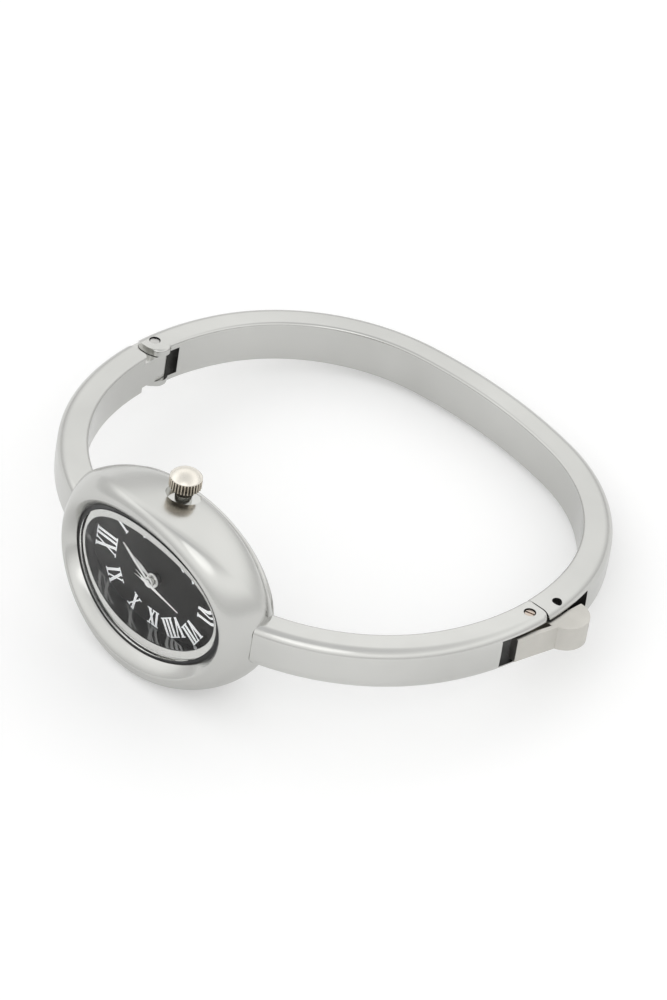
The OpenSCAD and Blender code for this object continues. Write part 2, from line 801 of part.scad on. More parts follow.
module coil() {
    color([0.72, 0.36, 0.16]) in_case() translate([coil_x, -coil_y, coil_h]) rotate([-90, 0, 0])
        difference() {
            cylinder(h = 2 * coil_y, r = coil_r);
            translate([-0.25, -0.23, -eps]) cube([0.5, 0.46, 2 * coil_y + 2 * eps]);
        }
}

module coil_core() {
    color(steel) in_case() translate([coil_x - 0.25, -3.95, coil_h - 0.23]) cube([0.5, 7.9, 0.46]);
}

module stator() {
    color(steel) in_case() translate([0, 0, stator_low]) linear_extrude(stator_top - stator_low)
        difference() {
            union() {
                translate(rotor_p) circle(1.1);
                translate([rotor_p[0] - 0.2, -3.95]) square([0.8, 1.7]);
                translate([rotor_p[0] - 0.2, -3.95]) square([coil_x + 0.6 - rotor_p[0], 0.65]);
                translate([rotor_p[0] + 0.8, -2.7]) square([2.1, 0.6]);
                translate([4.6, -2.7]) square([0.6, 6.65]);
                translate([4.6, 3.3]) square([coil_x - 4.2, 0.65]);
            }
            translate(rotor_p) circle(0.62);
            circle(32 * centre_m + 2 * centre_m);
            for (p = screw_places) translate(p) circle(0.25);
        }
}

// Wheels of the seconds train, each with its arbor

function toward(p, q) = atan2(q[1] - p[1], q[0] - p[0]);

module rotor() {
    color([0.35, 0.35, 0.38]) in_case() translate([rotor_p[0], rotor_p[1], 0]) {
        arbor(bridge_low + 0.02, 1.3);
        translate([0, 0, 0.74]) wheel(6, rotor_m, 0.15, 0, toward(rotor_p, inter_p));
        translate([0, 0, stator_low]) cylinder(h = stator_top - stator_low, r = 0.5);
    }
}

module intermediate_wheel() {
    color(brass) in_case() translate([inter_p[0], inter_p[1], 0]) {
        arbor(bridge_low + 0.02, 1.3);
        translate([0, 0, 0.56]) wheel(8, train_m, 0.21, 0, toward(inter_p, [0, 0]));
        translate([0, 0, 0.76]) spoked(36, rotor_m, 0.1, 0, toward(inter_p, rotor_p) + 5);
    }
}

module seconds_wheel() {
    color(brass) in_case() {
        translate([0, 0, bridge_low + 0.02]) cylinder(h = 0.3, r = pivot_r);
        translate([0, 0, bridge_top + 0.04]) cylinder(h = second_h - bridge_top - 0.04, r = second_r);
        translate([0, 0, 0.58]) spoked(40, train_m, 0.1, 0, toward([0, 0], inter_p) + 4.5);
        translate([0, 0, 0.68]) wheel(8, train_m, 0.2, 0, toward([0, 0], third_p));
    }
}

module third_wheel() {
    color(brass) in_case() translate([third_p[0], third_p[1], 0]) {
        arbor(bridge_low + 0.02, 1.3);
        translate([0, 0, 0.76]) spoked(60, train_m, 0.1, 0, toward(third_p, [0, 0]) + 3);
        translate([0, 0, 0.86]) wheel(8, centre_m, 0.16, 0, toward(third_p, [0, 0]));
    }
}

module centre_wheel() {
    color(brass) in_case() difference() {
        union() {
            translate([0, 0, 0.92]) spoked(64, centre_m, 0.08, 0, toward([0, 0], third_p) + 2.8125);
            translate([0, 0, 0.92]) cylinder(h = plate_top - 0.25 - 0.92, r = cannon_r - run);
        }
        pocket([0, 0], second_r + run, 0, 5);
    }
}

// Motion work

teeth_low = plate_top - 0.12;
module cannon_pinion() {
    color(brass) in_case() difference() {
        union() {
            translate([0, 0, teeth_low - 0.02]) wheel(10, motion_m, 0.2, 0, 90);
            translate([0, 0, teeth_low - 0.02]) cylinder(h = minute_h + 0.12 - teeth_low, r = cannon_r);
        }
        pocket([0, 0], second_r + run, 0, 8);
    }
}

// The minute wheel's spur teeth drive from the cannon pinion, and its face teeth take the stem's pinion
module minute_wheel() {
    rim = 15 * pinion_m;
    color(brass) in_case() translate([0, minute_d, 0]) {
        translate([0, 0, teeth_low]) wheel(30, motion_m, 0.15, 0, -90 + 6);
        translate([0, 0, teeth_low + 0.14]) wheel(8, motion_m, 0.32, 0, -90);
        arbor(plate_low + 0.1, teeth_low + 0.1);
        for (i = [0:29]) rotate([0, 0, 12 * i]) translate([rim - 0.15, -0.05, teeth_low - 0.16])
            cube([0.3, 0.1, 0.17]);
    }
}

module hour_wheel() {
    color(brass) in_case() difference() {
        union() {
            translate([0, 0, teeth_low + 0.27]) wheel(32, motion_m, 0.15, 0, 90 + 5.625);
            translate([0, 0, teeth_low + 0.27]) cylinder(h = hour_h + 0.1 - teeth_low - 0.27, r = hour_pipe_r);
        }
        pocket([0, 0], cannon_r + run, 0, 8);
    }
}

case_shell();
rim_plate();
caseback();
caseback_gasket();
crystal();
crystal_gasket();
dial_ring();
dial();
dial_spacer();
hour_hand();
minute_hand();
second_hand();
crown();
stem();
crown_tube();
crown_gasket();
movement_holder();
main_plate();
train_bridge();
bridge_screws();
circuit_board();
driver_chip();
quartz_can();
battery();
battery_strap();
coil();
coil_core();
stator();
rotor();
intermediate_wheel();
seconds_wheel();
third_wheel();
centre_wheel();
cannon_pinion();
minute_wheel();
hour_wheel();
setting_slide();
arm_12();
arm_6();
back_arc();
hinge_pin();
clasp_lever();
clasp_screw();
latch_pin();
catch_spring();
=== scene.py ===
"""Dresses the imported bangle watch: polished steel, dial print, glass and movement finishes."""

import json
import math
from types import SimpleNamespace

import bmesh
import bpy
from bpy.props import FloatProperty, FloatVectorProperty, PointerProperty
from mathutils import Matrix, Vector


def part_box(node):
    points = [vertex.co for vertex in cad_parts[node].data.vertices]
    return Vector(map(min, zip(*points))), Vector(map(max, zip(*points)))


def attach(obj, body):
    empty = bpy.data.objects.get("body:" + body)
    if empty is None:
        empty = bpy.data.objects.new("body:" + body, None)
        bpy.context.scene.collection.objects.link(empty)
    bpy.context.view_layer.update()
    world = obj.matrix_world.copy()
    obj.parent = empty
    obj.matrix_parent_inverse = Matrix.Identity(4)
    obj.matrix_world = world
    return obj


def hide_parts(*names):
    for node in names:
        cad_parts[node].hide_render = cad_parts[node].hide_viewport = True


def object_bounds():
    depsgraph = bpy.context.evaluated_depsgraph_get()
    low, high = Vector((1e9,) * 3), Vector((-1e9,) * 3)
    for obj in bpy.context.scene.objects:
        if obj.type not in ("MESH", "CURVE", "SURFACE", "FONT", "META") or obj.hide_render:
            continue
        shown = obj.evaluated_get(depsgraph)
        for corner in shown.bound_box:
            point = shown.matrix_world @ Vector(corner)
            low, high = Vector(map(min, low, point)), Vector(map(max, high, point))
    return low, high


bl_info = {
    "name": "Bangle Watch",
    "version": (1, 0, 0),
    "blender": (4, 5, 0),
    "location": "View3D > Sidebar > Bangle Watch",
    "description": "Models the outside and the finishes of a rigid bangle watch with an oval case",
    "category": "Add Mesh",
}

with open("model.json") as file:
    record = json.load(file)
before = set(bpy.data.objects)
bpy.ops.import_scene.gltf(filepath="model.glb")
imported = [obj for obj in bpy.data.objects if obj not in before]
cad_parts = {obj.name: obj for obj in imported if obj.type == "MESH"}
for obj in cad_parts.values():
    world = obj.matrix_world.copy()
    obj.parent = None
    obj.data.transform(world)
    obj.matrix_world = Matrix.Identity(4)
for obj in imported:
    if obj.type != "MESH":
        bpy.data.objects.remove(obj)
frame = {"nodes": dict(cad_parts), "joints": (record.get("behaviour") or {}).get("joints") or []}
CAD_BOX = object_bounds()

JOINTS = {joint["name"]: joint for joint in frame["joints"]}
LEAN = math.atan2(JOINTS["arc_swing"]["axis"][1], JOINTS["arc_swing"]["axis"][2])
# From millimetres in the watch's own axes to metres in the frame: x to 6 o'clock, -y out of the dial,
# z to 3 o'clock
AT_REST = Matrix.Rotation(-LEAN, 4, "X") @ Matrix.Scale(0.001, 4)
HANDS_JOINT = 2  # height of the hands' joint over the shell's rear edge, in millimetres


def in_watch(point):
    """A point of the frame, in metres, in the watch's own axes in millimetres."""
    return AT_REST.inverted() @ Vector(point)


def pin_place(point):
    """The same for a pin, at the middle of the strap's width."""
    x, y, _ = in_watch(point)
    return Vector((x, y, 0))


HINGE = pin_place(JOINTS["arc_swing"]["pos_m"])
SCREW = pin_place(JOINTS["lever_turn"]["pos_m"])
LATCH = pin_place((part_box("latch_pin")[0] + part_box("latch_pin")[1]) / 2)
SEAT = -in_watch(JOINTS["minute_turn"]["pos_m"]).y - HANDS_JOINT
# The same for the case: x to 6 o'clock, y to 3 o'clock, z out of the dial from the shell's rear edge
IN_CASE = AT_REST @ Matrix.Rotation(math.pi / 2, 4, "X") @ Matrix.Translation((0, 0, SEAT))
TO_STEM = Matrix.Rotation(-math.pi / 2, 4, "X")  # turns z to the stem's way, 3 o'clock


def length(name, description, default, most=0.1):
    """A size in metres."""
    return FloatProperty(name=name, description=description, default=default, min=0, max=most,
                         unit="LENGTH", precision=5)


def turn(name, description, default, most=math.pi):
    """An angle, its default in degrees."""
    return FloatProperty(name=name, description=description, default=math.radians(default), min=0.0,
                         max=most, unit="ROTATION", subtype="ANGLE")


def colour(name, description, default):
    """A colour in linear light."""
    return FloatVectorProperty(name=name, description=description, default=default, size=3, min=0, max=1,
                               subtype="COLOR")


class StrapSizes(bpy.types.PropertyGroup):
    """Sizes of the rigid bangle."""

    back: length("Back", "Inside of the back, from the middle of the bangle", 0.0251)
    back_radius: length("Back Radius", "Inside radius of the flat back stretch", 0.054)
    back_turn: turn("Back Turn", "Turn of the back stretch, each side of the middle", 10.9)
    corner_radius: length("Corner Radius", "Inside radius of the rounded corner stretch", 0.0207)
    corner_turn: turn("Corner Turn", "Turn of the corner stretch", 62.2)
    side_radius: length("Side Radius", "Inside radius of the side stretch", 0.0278)
    side_turn: turn("Side Turn", "Turn of the side stretch", 37.5)
    front_radius: length("Front Radius", "Inside radius of the stretch that meets the case", 0.0226)
    root: turn("Root", "Angle at which the front stretch ends inside the case", 67.83)
    thickness: length("Thickness", "Thickness of the strap", 0.00335)
    width: length("Width", "Width of the strap", 0.00505)
    inner_edge: length("Inner Edge", "Rounding of the inner edges", 0.00035)
    outer_edge: length("Outer Edge", "Rounding of the outer edges", 0.0011)
    crown: length("Crown", "Rise of the outer face at its middle", 0.00008)
    slot: length("Slot", "Height of the slots between the ears", 0.0034)
    gap: length("Gap", "Clearance beside the moving pieces", 0.00015)
    pin: length("Pin", "Radius of the pins", 0.00055)


class ClaspSizes(bpy.types.PropertyGroup):
    """Sizes of the hinge and the clasp."""

    ear_nose: length("Ear Nose", "End of the hinge ears, past the pin", 0.0016)
    nose_rounding: length("Nose Rounding", "Rounding of the ears' end, seen from above", 0.0014)
    ear_radius: length("Ear Radius", "Radius of the ears' round inner side", 0.0014)
    ear_over: length("Ear Over", "How far the ears stand out past the strap's inner face", 0.0004)
    shoulder: length("Shoulder", "End of the arm's full height, short of the pin", 0.00275)
    shoulder_rounding: length("Shoulder Rounding", "Rounding of the arm's end, seen from above", 0.0006)
    tongue_radius: length("Tongue Radius", "Radius of the tongue's round end", 0.00162)
    hinge_slot: length("Hinge Slot", "Slot's end in the back arc, past the pin", 0.00235)
    hinge_at: FloatProperty(name="Hinge At", description="Hinge pin's place along the side stretch",
                            default=-0.0002, unit="LENGTH", precision=5)
    screw_at: length("Screw At", "Screw pin's place along the side stretch", 0.0003)
    arm_tip: length("Arm Tip", "End of the 6 o'clock arm, past the screw pin", 0.0014)
    tip_rounding: length("Tip Rounding", "Rounding of the arm's end, seen from above", 0.0008)
    arm_slot: length("Arm Slot", "Slot's end in the arm, short of the screw pin", 0.0049)
    arc_slot: length("Arc Slot", "Slot's end in the back arc, past the arm's end", 0.0069)
    lever_height: length("Lever Height", "Height of the clasp lever", 0.0029)
    hub_radius: length("Hub Radius", "Radius of the lever's hub about the screw pin", 0.00115)
    plate: length("Plate", "Wall of the lever's plate", 0.001)
    strip: length("Strip", "Width of the plate's upper edge", 0.0006)
    lobe_radius: length("Lobe Radius", "Radius of the lever's thumb lobe", 0.0026)
    lever_edge: length("Lever Edge", "Rounding of the cast lever's edges", 0.00016)


class CaseSizes(bpy.types.PropertyGroup):
    """Sizes of the case, glass and crown."""

    half_length: length("Half Length", "Half length of the case, 12 to 6 o'clock", 0.0146)
    half_width: length("Half Width", "Half width of the case, 9 to 3 o'clock", 0.0105)
    crest: length("Crest", "Height of the widest line at 3 o'clock", 0.00725)
    crest_bow: length("Crest Bow", "Drop of the widest line towards 12 and 6 o'clock", 0.0054)
    ridge: length("Ridge", "Height of the front ridge", 0.0079)
    slope_length: length("Slope, Ends", "Width of the slope down to the opening at 12 and 6 o'clock", 0.001)
    slope_width: length("Slope, Sides", "Width of the slope down to the opening at 3 and 9 o'clock", 0.0015)
    rear_in_length: length("Rear In, Ends", "How far the rear edge draws in at 12 and 6 o'clock", 0.002)
    rear_in_width: length("Rear In, Sides", "How far the rear edge draws in at 3 and 9 o'clock", 0.0008)
    lip_length: length("Lip Length", "Half length of the crystal opening", 0.0111)
    lip_width: length("Lip Width", "Half width of the crystal opening", 0.0078)
    lip: length("Lip", "Height of the opening's lip", 0.0068)
    lip_bow: length("Lip Bow", "Bow of the lip and crystal along 12 to 6 o'clock", 0.0014)
    crystal: length("Crystal", "Thickness of the crystal", 0.0006)
    gasket: length("Gasket", "Width of the crystal gasket", 0.00034)
    window_length: length("Window Length", "Half length of the dial ring's window", 0.00985)
    window_width: length("Window Width", "Half width of the dial ring's window", 0.0062)
    dial: length("Dial", "Height of the dial's face", 0.0039)
    rim: length("Rim", "Thickness of the rim plate", 0.0005)
    stem: length("Stem", "Height of the stem's axis", 0.0018)
    crown_low: length("Crown Low", "Underside of the crown's ribbed band, from the middle", 0.01126)
    crown_radius: length("Crown Radius", "Radius of the crown over its ribs", 0.00175)
    crown_band: length("Crown Band", "Height of the crown's ribbed band", 0.0012)
    crown_dome: length("Crown Dome", "Height of the crown's domed cap", 0.0009)
    recess_radius: length("Recess Radius", "Radius of the recess round the crown", 0.00195)
    recess_floor: length("Recess Floor", "Floor of the crown's recess, from the middle", 0.0095)


class HandSizes(bpy.types.PropertyGroup):
    """Sizes of the hands and the dial's print."""

    minute: length("Minute Hand", "Length of the minute hand", 0.005)
    hour: length("Hour Hand", "Length of the hour hand", 0.0036)
    second: length("Second Hand", "Length of the second hand", 0.0049)
    shown: turn("Shown Minutes", "Angle of the minute hand from 12 o'clock", 31)
    hour_shown: turn("Shown Hour", "Angle of the hour hand from 12 o'clock", 20)
    second_shown: turn("Shown Seconds", "Angle of the second hand from 12 o'clock", 190, most=2 * math.pi)
    stroke: length("Stroke", "Width of the numerals' thick strokes", 0.00031)
    hairline: length("Hairline", "Width of the numerals' thin strokes", 0.00016)


class FinishColours(bpy.types.PropertyGroup):
    """Colours of the finishes."""

    steel: colour("Steel", "Polished steel of the case and strap", (0.61, 0.61, 0.59))
    pin: colour("Pins", "Turned steel of the pins", (0.55, 0.545, 0.53))
    nickel: colour("Lever", "Cast nickel of the clasp lever", (0.62, 0.605, 0.565))
    crown: colour("Crown", "Warm nickel of the crown", (0.62, 0.56, 0.47))
    rubber: colour("Gasket", "Black rubber", (0.012, 0.012, 0.013))
    dial: colour("Dial", "Semi-matt black dial", (0.017, 0.016, 0.015))
    printing: colour("Numerals", "White print", (0.90, 0.91, 0.92))
    hands: colour("Hands", "Silver-white hands", (0.88, 0.88, 0.87))
    brass: colour("Brass", "Brass of the movement", (0.62, 0.43, 0.17))
    copper: colour("Copper", "Enamelled copper winding", (0.50, 0.16, 0.06))
    board: colour("Board", "Green circuit board", (0.03, 0.12, 0.045))
    plastic: colour("Plastic", "Moulded white plastic", (0.70, 0.70, 0.66))


class StageSizes(bpy.types.PropertyGroup):
    """The camera's place and the lights."""

    azimuth: turn("Azimuth", "Camera's turn about the watch's width", 40.58)
    elevation: turn("Elevation", "Camera's rise above the strap's plane", 37.008)
    roll: turn("Roll", "Camera's roll", 9.246)
    distance: length("Distance", "Camera's distance from the bangle's middle", 0.68234, most=5)
    lens: FloatProperty(name="Lens", description="Focal length in millimetres", default=228.76, min=10)
    shift_x: FloatProperty(name="Shift X", description="Camera's sideways shift", default=0.01006)
    shift_y: FloatProperty(name="Shift Y", description="Camera's upward shift", default=-0.00255)
    sky: FloatProperty(name="Sky", description="Strength of the tent's light", default=1.0, min=0)


GROUPS = {"strap": StrapSizes, "clasp": ClaspSizes, "case": CaseSizes, "hands": HandSizes,
          "finish": FinishColours, "stage": StageSizes}


def sizes(group):
    return getattr(bpy.context.scene, "bangle_" + group)


def in_mm(group):
    """The group's sizes, with each length in millimetres."""
    values = sizes(group)
    units = {name: values.bl_rna.properties[name].unit for name in GROUPS[group].__annotations__}
    return SimpleNamespace(**{name: getattr(values, name) * (1000 if unit == "LENGTH" else 1)
                              for name, unit in units.items()})


# Finishes


def feed(tree, node, inputs):
    """Sets each input to its value, or links it to the socket that feeds it."""
    for key, value in inputs.items():
        if isinstance(value, bpy.types.NodeSocket):
            tree.links.new(value, node.inputs[key])
        else:
            node.inputs[key].default_value = value
    return node


def add_node(tree, kind, inputs=None, **settings):
    made = tree.nodes.new("ShaderNode" + kind)
    for key, value in settings.items():
        setattr(made, key, value)
    return feed(tree, made, inputs or {})


class Finish:
    """A node material on Object coordinates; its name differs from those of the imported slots."""

    def __init__(self, name):
        self.material = bpy.data.materials.new("bangle_" + name)
        self.material.use_nodes = True
        self.tree = self.material.node_tree
        self.place = add_node(self.tree, "TexCoord").outputs["Object"]

    def set(self, **values):
        """Feeds the shader's sockets, whose names have _ for a space."""
        feed(self.tree, self.tree.nodes["Principled BSDF"],
             {key.replace("_", " "): value for key, value in values.items()})

    def noise(self, scale, detail, stretch=(1, 1, 1)):
        place = add_node(self.tree, "Mapping", {"Vector": self.place, "Scale": stretch}).outputs["Vector"]
        return add_node(self.tree, "TexNoise",
                        {"Vector": place, "Scale": scale, "Detail": detail}).outputs["Fac"]

    def ramp(self, value, low, high, start=0.3, end=0.7):
        """A number that runs from low to high as the value runs from start to end."""
        return add_node(self.tree, "MapRange", {"Value": value, "From Min": start, "From Max": end,
                                                "To Min": low, "To Max": high}).outputs["Result"]

    def blend(self, value, first, last, start=0.3, end=0.7):
        """A colour that runs from first to last as the value runs from start to end."""
        share = self.ramp(value, 0, 1, start, end)
        return add_node(self.tree, "Mix", {"Factor": share, "A": (*first, 1), "B": (*last, 1)},
                        data_type="RGBA").outputs["Result"]

    def relief(self, *heights):
        """Lays fine relief from (noise, depth in millimetres) pairs, and returns the material."""
        normal = {}
        for height, depth in heights:
            bump = add_node(self.tree, "Bump", {"Height": height, "Distance": depth * 0.001, "Strength": 1.0,
                                                **normal})
            normal = {"Normal": bump.outputs["Normal"]}
        self.set(**normal)
        return self.material


def shade(tone, share):
    return tuple(channel * share for channel in tone)


METAL = {"Metallic": 1.0}
# Each finish by its name. A noise is (scale, detail) and, where it runs one way, a stretch. The rows give
# the colour, from the panel or as two of its own, and the shares of it that the grain runs between;
# the grain's noise; the haze's noise; the roughness that the haze runs between;
# the marks, each its depth in millimetres and its noise; the shader's other sockets.
NOISY = {
    # Plated steel: mirror-like with a soft haze, faint waves and hair scratches
    "polished_steel": ("steel", (0.93, 1.07), (60, 4), (220, 4), (0.15, 0.25),
                       [(0.045, 85, 2), (0.006, 260, 2), (0.0003, 900, 5, (1, 1, 9))], METAL),
    # The dial ring's polished wall, and a darkened copy of it below its face that paints the case's shade
    "mirror_steel": ("steel", (0.98, 1.04), (80, 2), (400, 3), (0.05, 0.09), [(0.0006, 500, 2)], METAL),
    "smoked_steel": ("steel", (0.26, 0.34), (80, 2), (400, 3), (0.07, 0.12), [(0.0006, 500, 2)], METAL),
    # Walls of slots and pin holes: rough as unpolished, and darkened far below the steel's tone as painted
    # shade
    "slot_steel": ("pin", (0.07, 0.16), (300, 3), (900, 4), (0.35, 0.5), [(0.002, 2500, 3)], METAL),
    # Pins and small parts with turned and drawn marks
    "turned_steel": ("pin", (0.9, 1.08), (300, 3), (900, 4), (0.2, 0.36),
                     [(0.0015, 2500, 3, (1, 1, 6))], METAL),
    # The clasp screw, a little coppery
    "screw_steel": (((0.60, 0.52, 0.45), (0.72, 0.62, 0.55)), (1, 1), (500, 3), (900, 4), (0.25, 0.4),
                    [(0.002, 2500, 3)], METAL),
    # The lever: cast, tumbled and slightly dull
    "cast_nickel": ("nickel", (0.94, 1.05), (240, 4), (700, 4), (0.3, 0.42),
                    [(0.006, 420, 3), (0.0012, 2600, 4)], METAL),
    # The crown's ribs, and a darkened copy for its grooves and neck and the lever's recess floor, as painted
    # shade
    "warm_nickel": ("crown", (0.9, 1.08), (350, 3), (900, 3), (0.16, 0.26), [(0.0008, 1800, 3)], METAL),
    "dark_nickel": ("crown", (0.2, 0.34), (350, 3), (900, 3), (0.3, 0.42), [(0.0008, 1800, 3)], METAL),
    # The crown's cap: creamy and a little softer than the ribs
    "domed_nickel": (((0.84, 0.80, 0.72), (0.92, 0.88, 0.80)), (1, 1), (600, 3), (900, 3), (0.24, 0.32),
                     [(0.002, 700, 2)], METAL),
    "black_rubber": ("rubber", (1, 1.8), (900, 3), (700, 3), (0.28, 0.4), [(0.002, 2200, 3)], {}),
    "crystal_glass": (((0.985, 0.99, 0.99), (1, 1, 1)), (1, 1), (30, 1), (300, 3), (0.0, 0.012),
                      [(0.0004, 120, 1)], {"Transmission_Weight": 1.0, "IOR": 1.2}),
    # Semi-matt lacquer with a barely seen grain
    "dial_black": ("dial", (0.9, 1.25), (1500, 4), (1200, 3), (0.32, 0.42), [(0.0008, 4000, 3)],
                   {"Specular_IOR_Level": 0.12}),
    # The print glows a little though it is no lamp: painted light
    "white_print": ("printing", (0.93, 1), (2500, 3), (1500, 3), (0.3, 0.45), [(0.002, 5000, 3)],
                    {"Emission_Strength": 0.3}),
    # The hands glow a little though they are no lamp: painted light
    "silver_hands": ("hands", (0.95, 1.04), (900, 3), (1500, 3), (0.28, 0.4), [(0.0008, 3500, 3)],
                     {"Metallic": 0.4, "Emission_Strength": 0.12}),
    "brass_plate": ("brass", (0.85, 1.15), (260, 4), (800, 4), (0.28, 0.4),
                    [(0.0015, 1600, 3, (1, 7, 1))], METAL),
    "brass_wheel": ("brass", (0.85, 1.15), (260, 4), (800, 4), (0.22, 0.34),
                    [(0.0015, 1600, 3, (1, 7, 1))], METAL),
    "white_plastic": ("plastic", (0.93, 1), (500, 3), (900, 4), (0.4, 0.54), [(0.006, 1500, 4)], {}),
    "black_plastic": (((0.015, 0.015, 0.016),) * 2, (0.93, 1), (500, 3), (900, 4), (0.35, 0.49),
                      [(0.006, 1500, 4)], {}),
}


def noisy(name):
    """A finish whose colour, roughness and relief each follow their own noise."""
    tones, shares, grain, haze, rough, marks, sockets = NOISY[name]
    first, last = (getattr(sizes("finish"), tones),) * 2 if isinstance(tones, str) else tones
    f = Finish(name)
    f.set(Base_Color=f.blend(f.noise(*grain), shade(first, shares[0]), shade(last, shares[1])),
          Roughness=f.ramp(f.noise(*haze), *rough), **sockets)
    # An emission strength makes the part glow in its own colour: painted light
    if "Emission_Strength" in sockets:
        f.set(Emission_Color=(*first, 1))
    return f.relief(*[(f.noise(*noise), depth) for depth, *noise in marks])


def copper_wire():
    """Fine turns of enamelled wire along the coil, which runs to 3 o'clock."""
    tone = sizes("finish").copper
    f = Finish("copper_wire")
    place = add_node(f.tree, "Mapping", {"Vector": f.place, "Rotation": (LEAN, 0, 0)}).outputs["Vector"]
    turns = add_node(f.tree, "TexWave", {"Vector": place, "Scale": 1600.0, "Distortion": 0.4},
                     wave_type="BANDS", bands_direction="Z").outputs["Fac"]
    f.set(Metallic=0.8, Base_Color=f.blend(turns, shade(tone, 0.55), shade(tone, 1.2), 0, 1),
          Roughness=f.ramp(f.noise(900, 3), 0.25, 0.4), Coat_Weight=0.4, Coat_Roughness=0.15)
    return f.relief((turns, 0.01))


def circuit_green():
    """Lacquered board with raised tracks."""
    tone = sizes("finish").board
    f = Finish("circuit_green")
    tracks = add_node(f.tree, "TexVoronoi", {"Vector": f.place, "Scale": 700.0},
                      feature="DISTANCE_TO_EDGE").outputs["Distance"]
    edge = 0.02, 0.09
    f.set(Base_Color=f.blend(tracks, shade(tone, 1.6), tone, *edge),
          Roughness=f.ramp(f.noise(900, 3), 0.3, 0.5), Coat_Weight=0.3)
    return f.relief((f.ramp(tracks, 1, 0, *edge), 0.02))


def finish_named(name):
    """The finish of that name, made where it is first used."""
    known = bpy.data.materials.get("bangle_" + name)
    patterns = {"copper_wire": copper_wire, "circuit_green": circuit_green}
    return known or (patterns[name]() if name in patterns else noisy(name))


# Modelling

MERGE = 0.0005  # corners closer than this, in millimetres, are one
ROUND = 2 * math.pi
THROUGH = 12  # length of a hole's tool, past both edges of the strap


def only(kind, geom):
    return [g for g in geom if isinstance(g, kind)]


def in_scene(name, data):
    made = bpy.data.objects.new(name, data)
    bpy.context.scene.collection.objects.link(made)
    return made


def loose_object(bm, name="tool"):
    mesh = bpy.data.meshes.new(name)
    bm.to_mesh(mesh)
    bm.free()
    return in_scene(name, mesh)


def discard(made):
    mesh = made.data
    bpy.data.objects.remove(made)
    bpy.data.meshes.remove(mesh)


def baked(made):
    """The object's mesh with its modifiers, as a new mesh, and the object removed."""
    bpy.context.view_layer.update()
    mesh = bpy.data.meshes.new_from_object(made.evaluated_get(bpy.context.evaluated_depsgraph_get()))
    discard(made)
    return mesh


def carved(bm, *tools, operation="DIFFERENCE"):
    """The solid with each tool cut away, or joined to it."""
    body = loose_object(bm)
    cutters = [loose_object(tool) for tool in tools]
    for cutter in cutters:
        step = body.modifiers.new("carve", "BOOLEAN")
        step.operation = operation
        step.solver = "EXACT"
        step.object = cutter
    mesh = baked(body)
    for cutter in cutters:
        discard(cutter)
    made = bmesh.new()
    made.from_mesh(mesh)
    bpy.data.meshes.remove(mesh)
    return made


def bevel(bm, geom, width, segments, affect):
    bmesh.ops.bevel(bm, geom=geom, offset=width, offset_type="OFFSET", segments=segments, profile=0.5,
                    affect=affect, clamp_overlap=True, material=-1)


def soften(bm, width, segments, angle, chosen=lambda e: True):
    """Rounds the chosen edges that are sharper than the angle."""
    least = math.radians(angle)
    bevel(bm, [e for e in bm.edges if len(e.link_faces) == 2 and e.calc_face_angle(0) > least and chosen(e)],
          width, segments, "EDGES")


def piece(bm, name, place, body, look, stands_for=(), angle=38, weighted=True, inside=None):
    """Puts a modelled solid in the frame, with its finish, its body and the nodes that it stands for.
    inside is (finish, test): the faces that pass the test have that finish instead."""
    bmesh.ops.remove_doubles(bm, verts=bm.verts, dist=MERGE)
    bmesh.ops.dissolve_degenerate(bm, dist=0.8 * MERGE, edges=bm.edges)
    bmesh.ops.recalc_face_normals(bm, faces=bm.faces)
    marked = [int(inside[1](f)) for f in bm.faces] if inside else []
    bmesh.ops.transform(bm, matrix=place, verts=bm.verts)
    for f in bm.faces:
        f.smooth = True
    made = loose_object(bm, name)
    made.data.set_sharp_from_angle(angle=math.radians(angle))
    if weighted:
        step = made.modifiers.new("flat faces", "WEIGHTED_NORMAL")
        step.keep_sharp = True
        step.weight = 80
        mesh = baked(made)
        mesh.name = name
        made = in_scene(name, mesh)
    made.data.materials.clear()
    made.data.materials.append(finish_named(look))
    if inside:
        made.data.materials.append(finish_named(inside[0]))
        made.data.polygons.foreach_set("material_index", marked)
    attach(made, body)
    if stands_for:
        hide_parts(*stands_for)


def rod(radius, low, high, matrix, segments):
    """A solid cylinder along z, turned by the matrix."""
    bm = bmesh.new()
    bmesh.ops.create_cone(bm, cap_ends=True, segments=segments, radius1=radius, radius2=radius,
                          depth=high - low, matrix=matrix @ Matrix.Translation((0, 0, (low + high) / 2)))
    return bm


def flat_face(bm, corners, height=0, matrix=Matrix()):
    verts = [bm.verts.new(matrix @ Vector((c[0], c[1], height))) for c in corners]
    bmesh.ops.contextual_create(bm, geom=verts)


def thicken(bm, rise):
    """Raises the flat faces to solids, and returns the raised corners."""
    top = only(bmesh.types.BMVert, bmesh.ops.extrude_face_region(bm, geom=bm.faces[:])["geom"])
    bmesh.ops.translate(bm, vec=(0, 0, rise), verts=top)
    bmesh.ops.recalc_face_normals(bm, faces=bm.faces)
    return top


def extruded(bm, edges):
    """Extrudes a ring of edges, and returns the new ring's edges and corners."""
    made = bmesh.ops.extrude_edge_only(bm, edges=edges)["geom"]
    corners = only(bmesh.types.BMVert, made)
    new = set(corners)
    return [e for e in only(bmesh.types.BMEdge, made) if set(e.verts) <= new], corners


def prism(corners, low, high):
    """A solid on a few corners, from low to high."""
    bm = bmesh.new()
    flat_face(bm, corners, low)
    thicken(bm, high - low)
    return bm


def spun(section, steps, closed=False):
    """A solid turned from its half section of (radius, height), or a ring from a closed one."""
    bm = bmesh.new()
    verts = [bm.verts.new((x, 0, z)) for x, z in section]
    ends = [(verts[i], verts[i - 1]) for i in range(len(verts))] if closed else zip(verts, verts[1:])
    edges = [bm.edges.new(pair) for pair in ends]
    bmesh.ops.spin(bm, geom=verts + edges, cent=(0, 0, 0), axis=(0, 0, 1), angle=ROUND, steps=steps,
                   use_merge=True)
    bmesh.ops.remove_doubles(bm, verts=bm.verts, dist=MERGE)
    bmesh.ops.recalc_face_normals(bm, faces=bm.faces)
    return bm


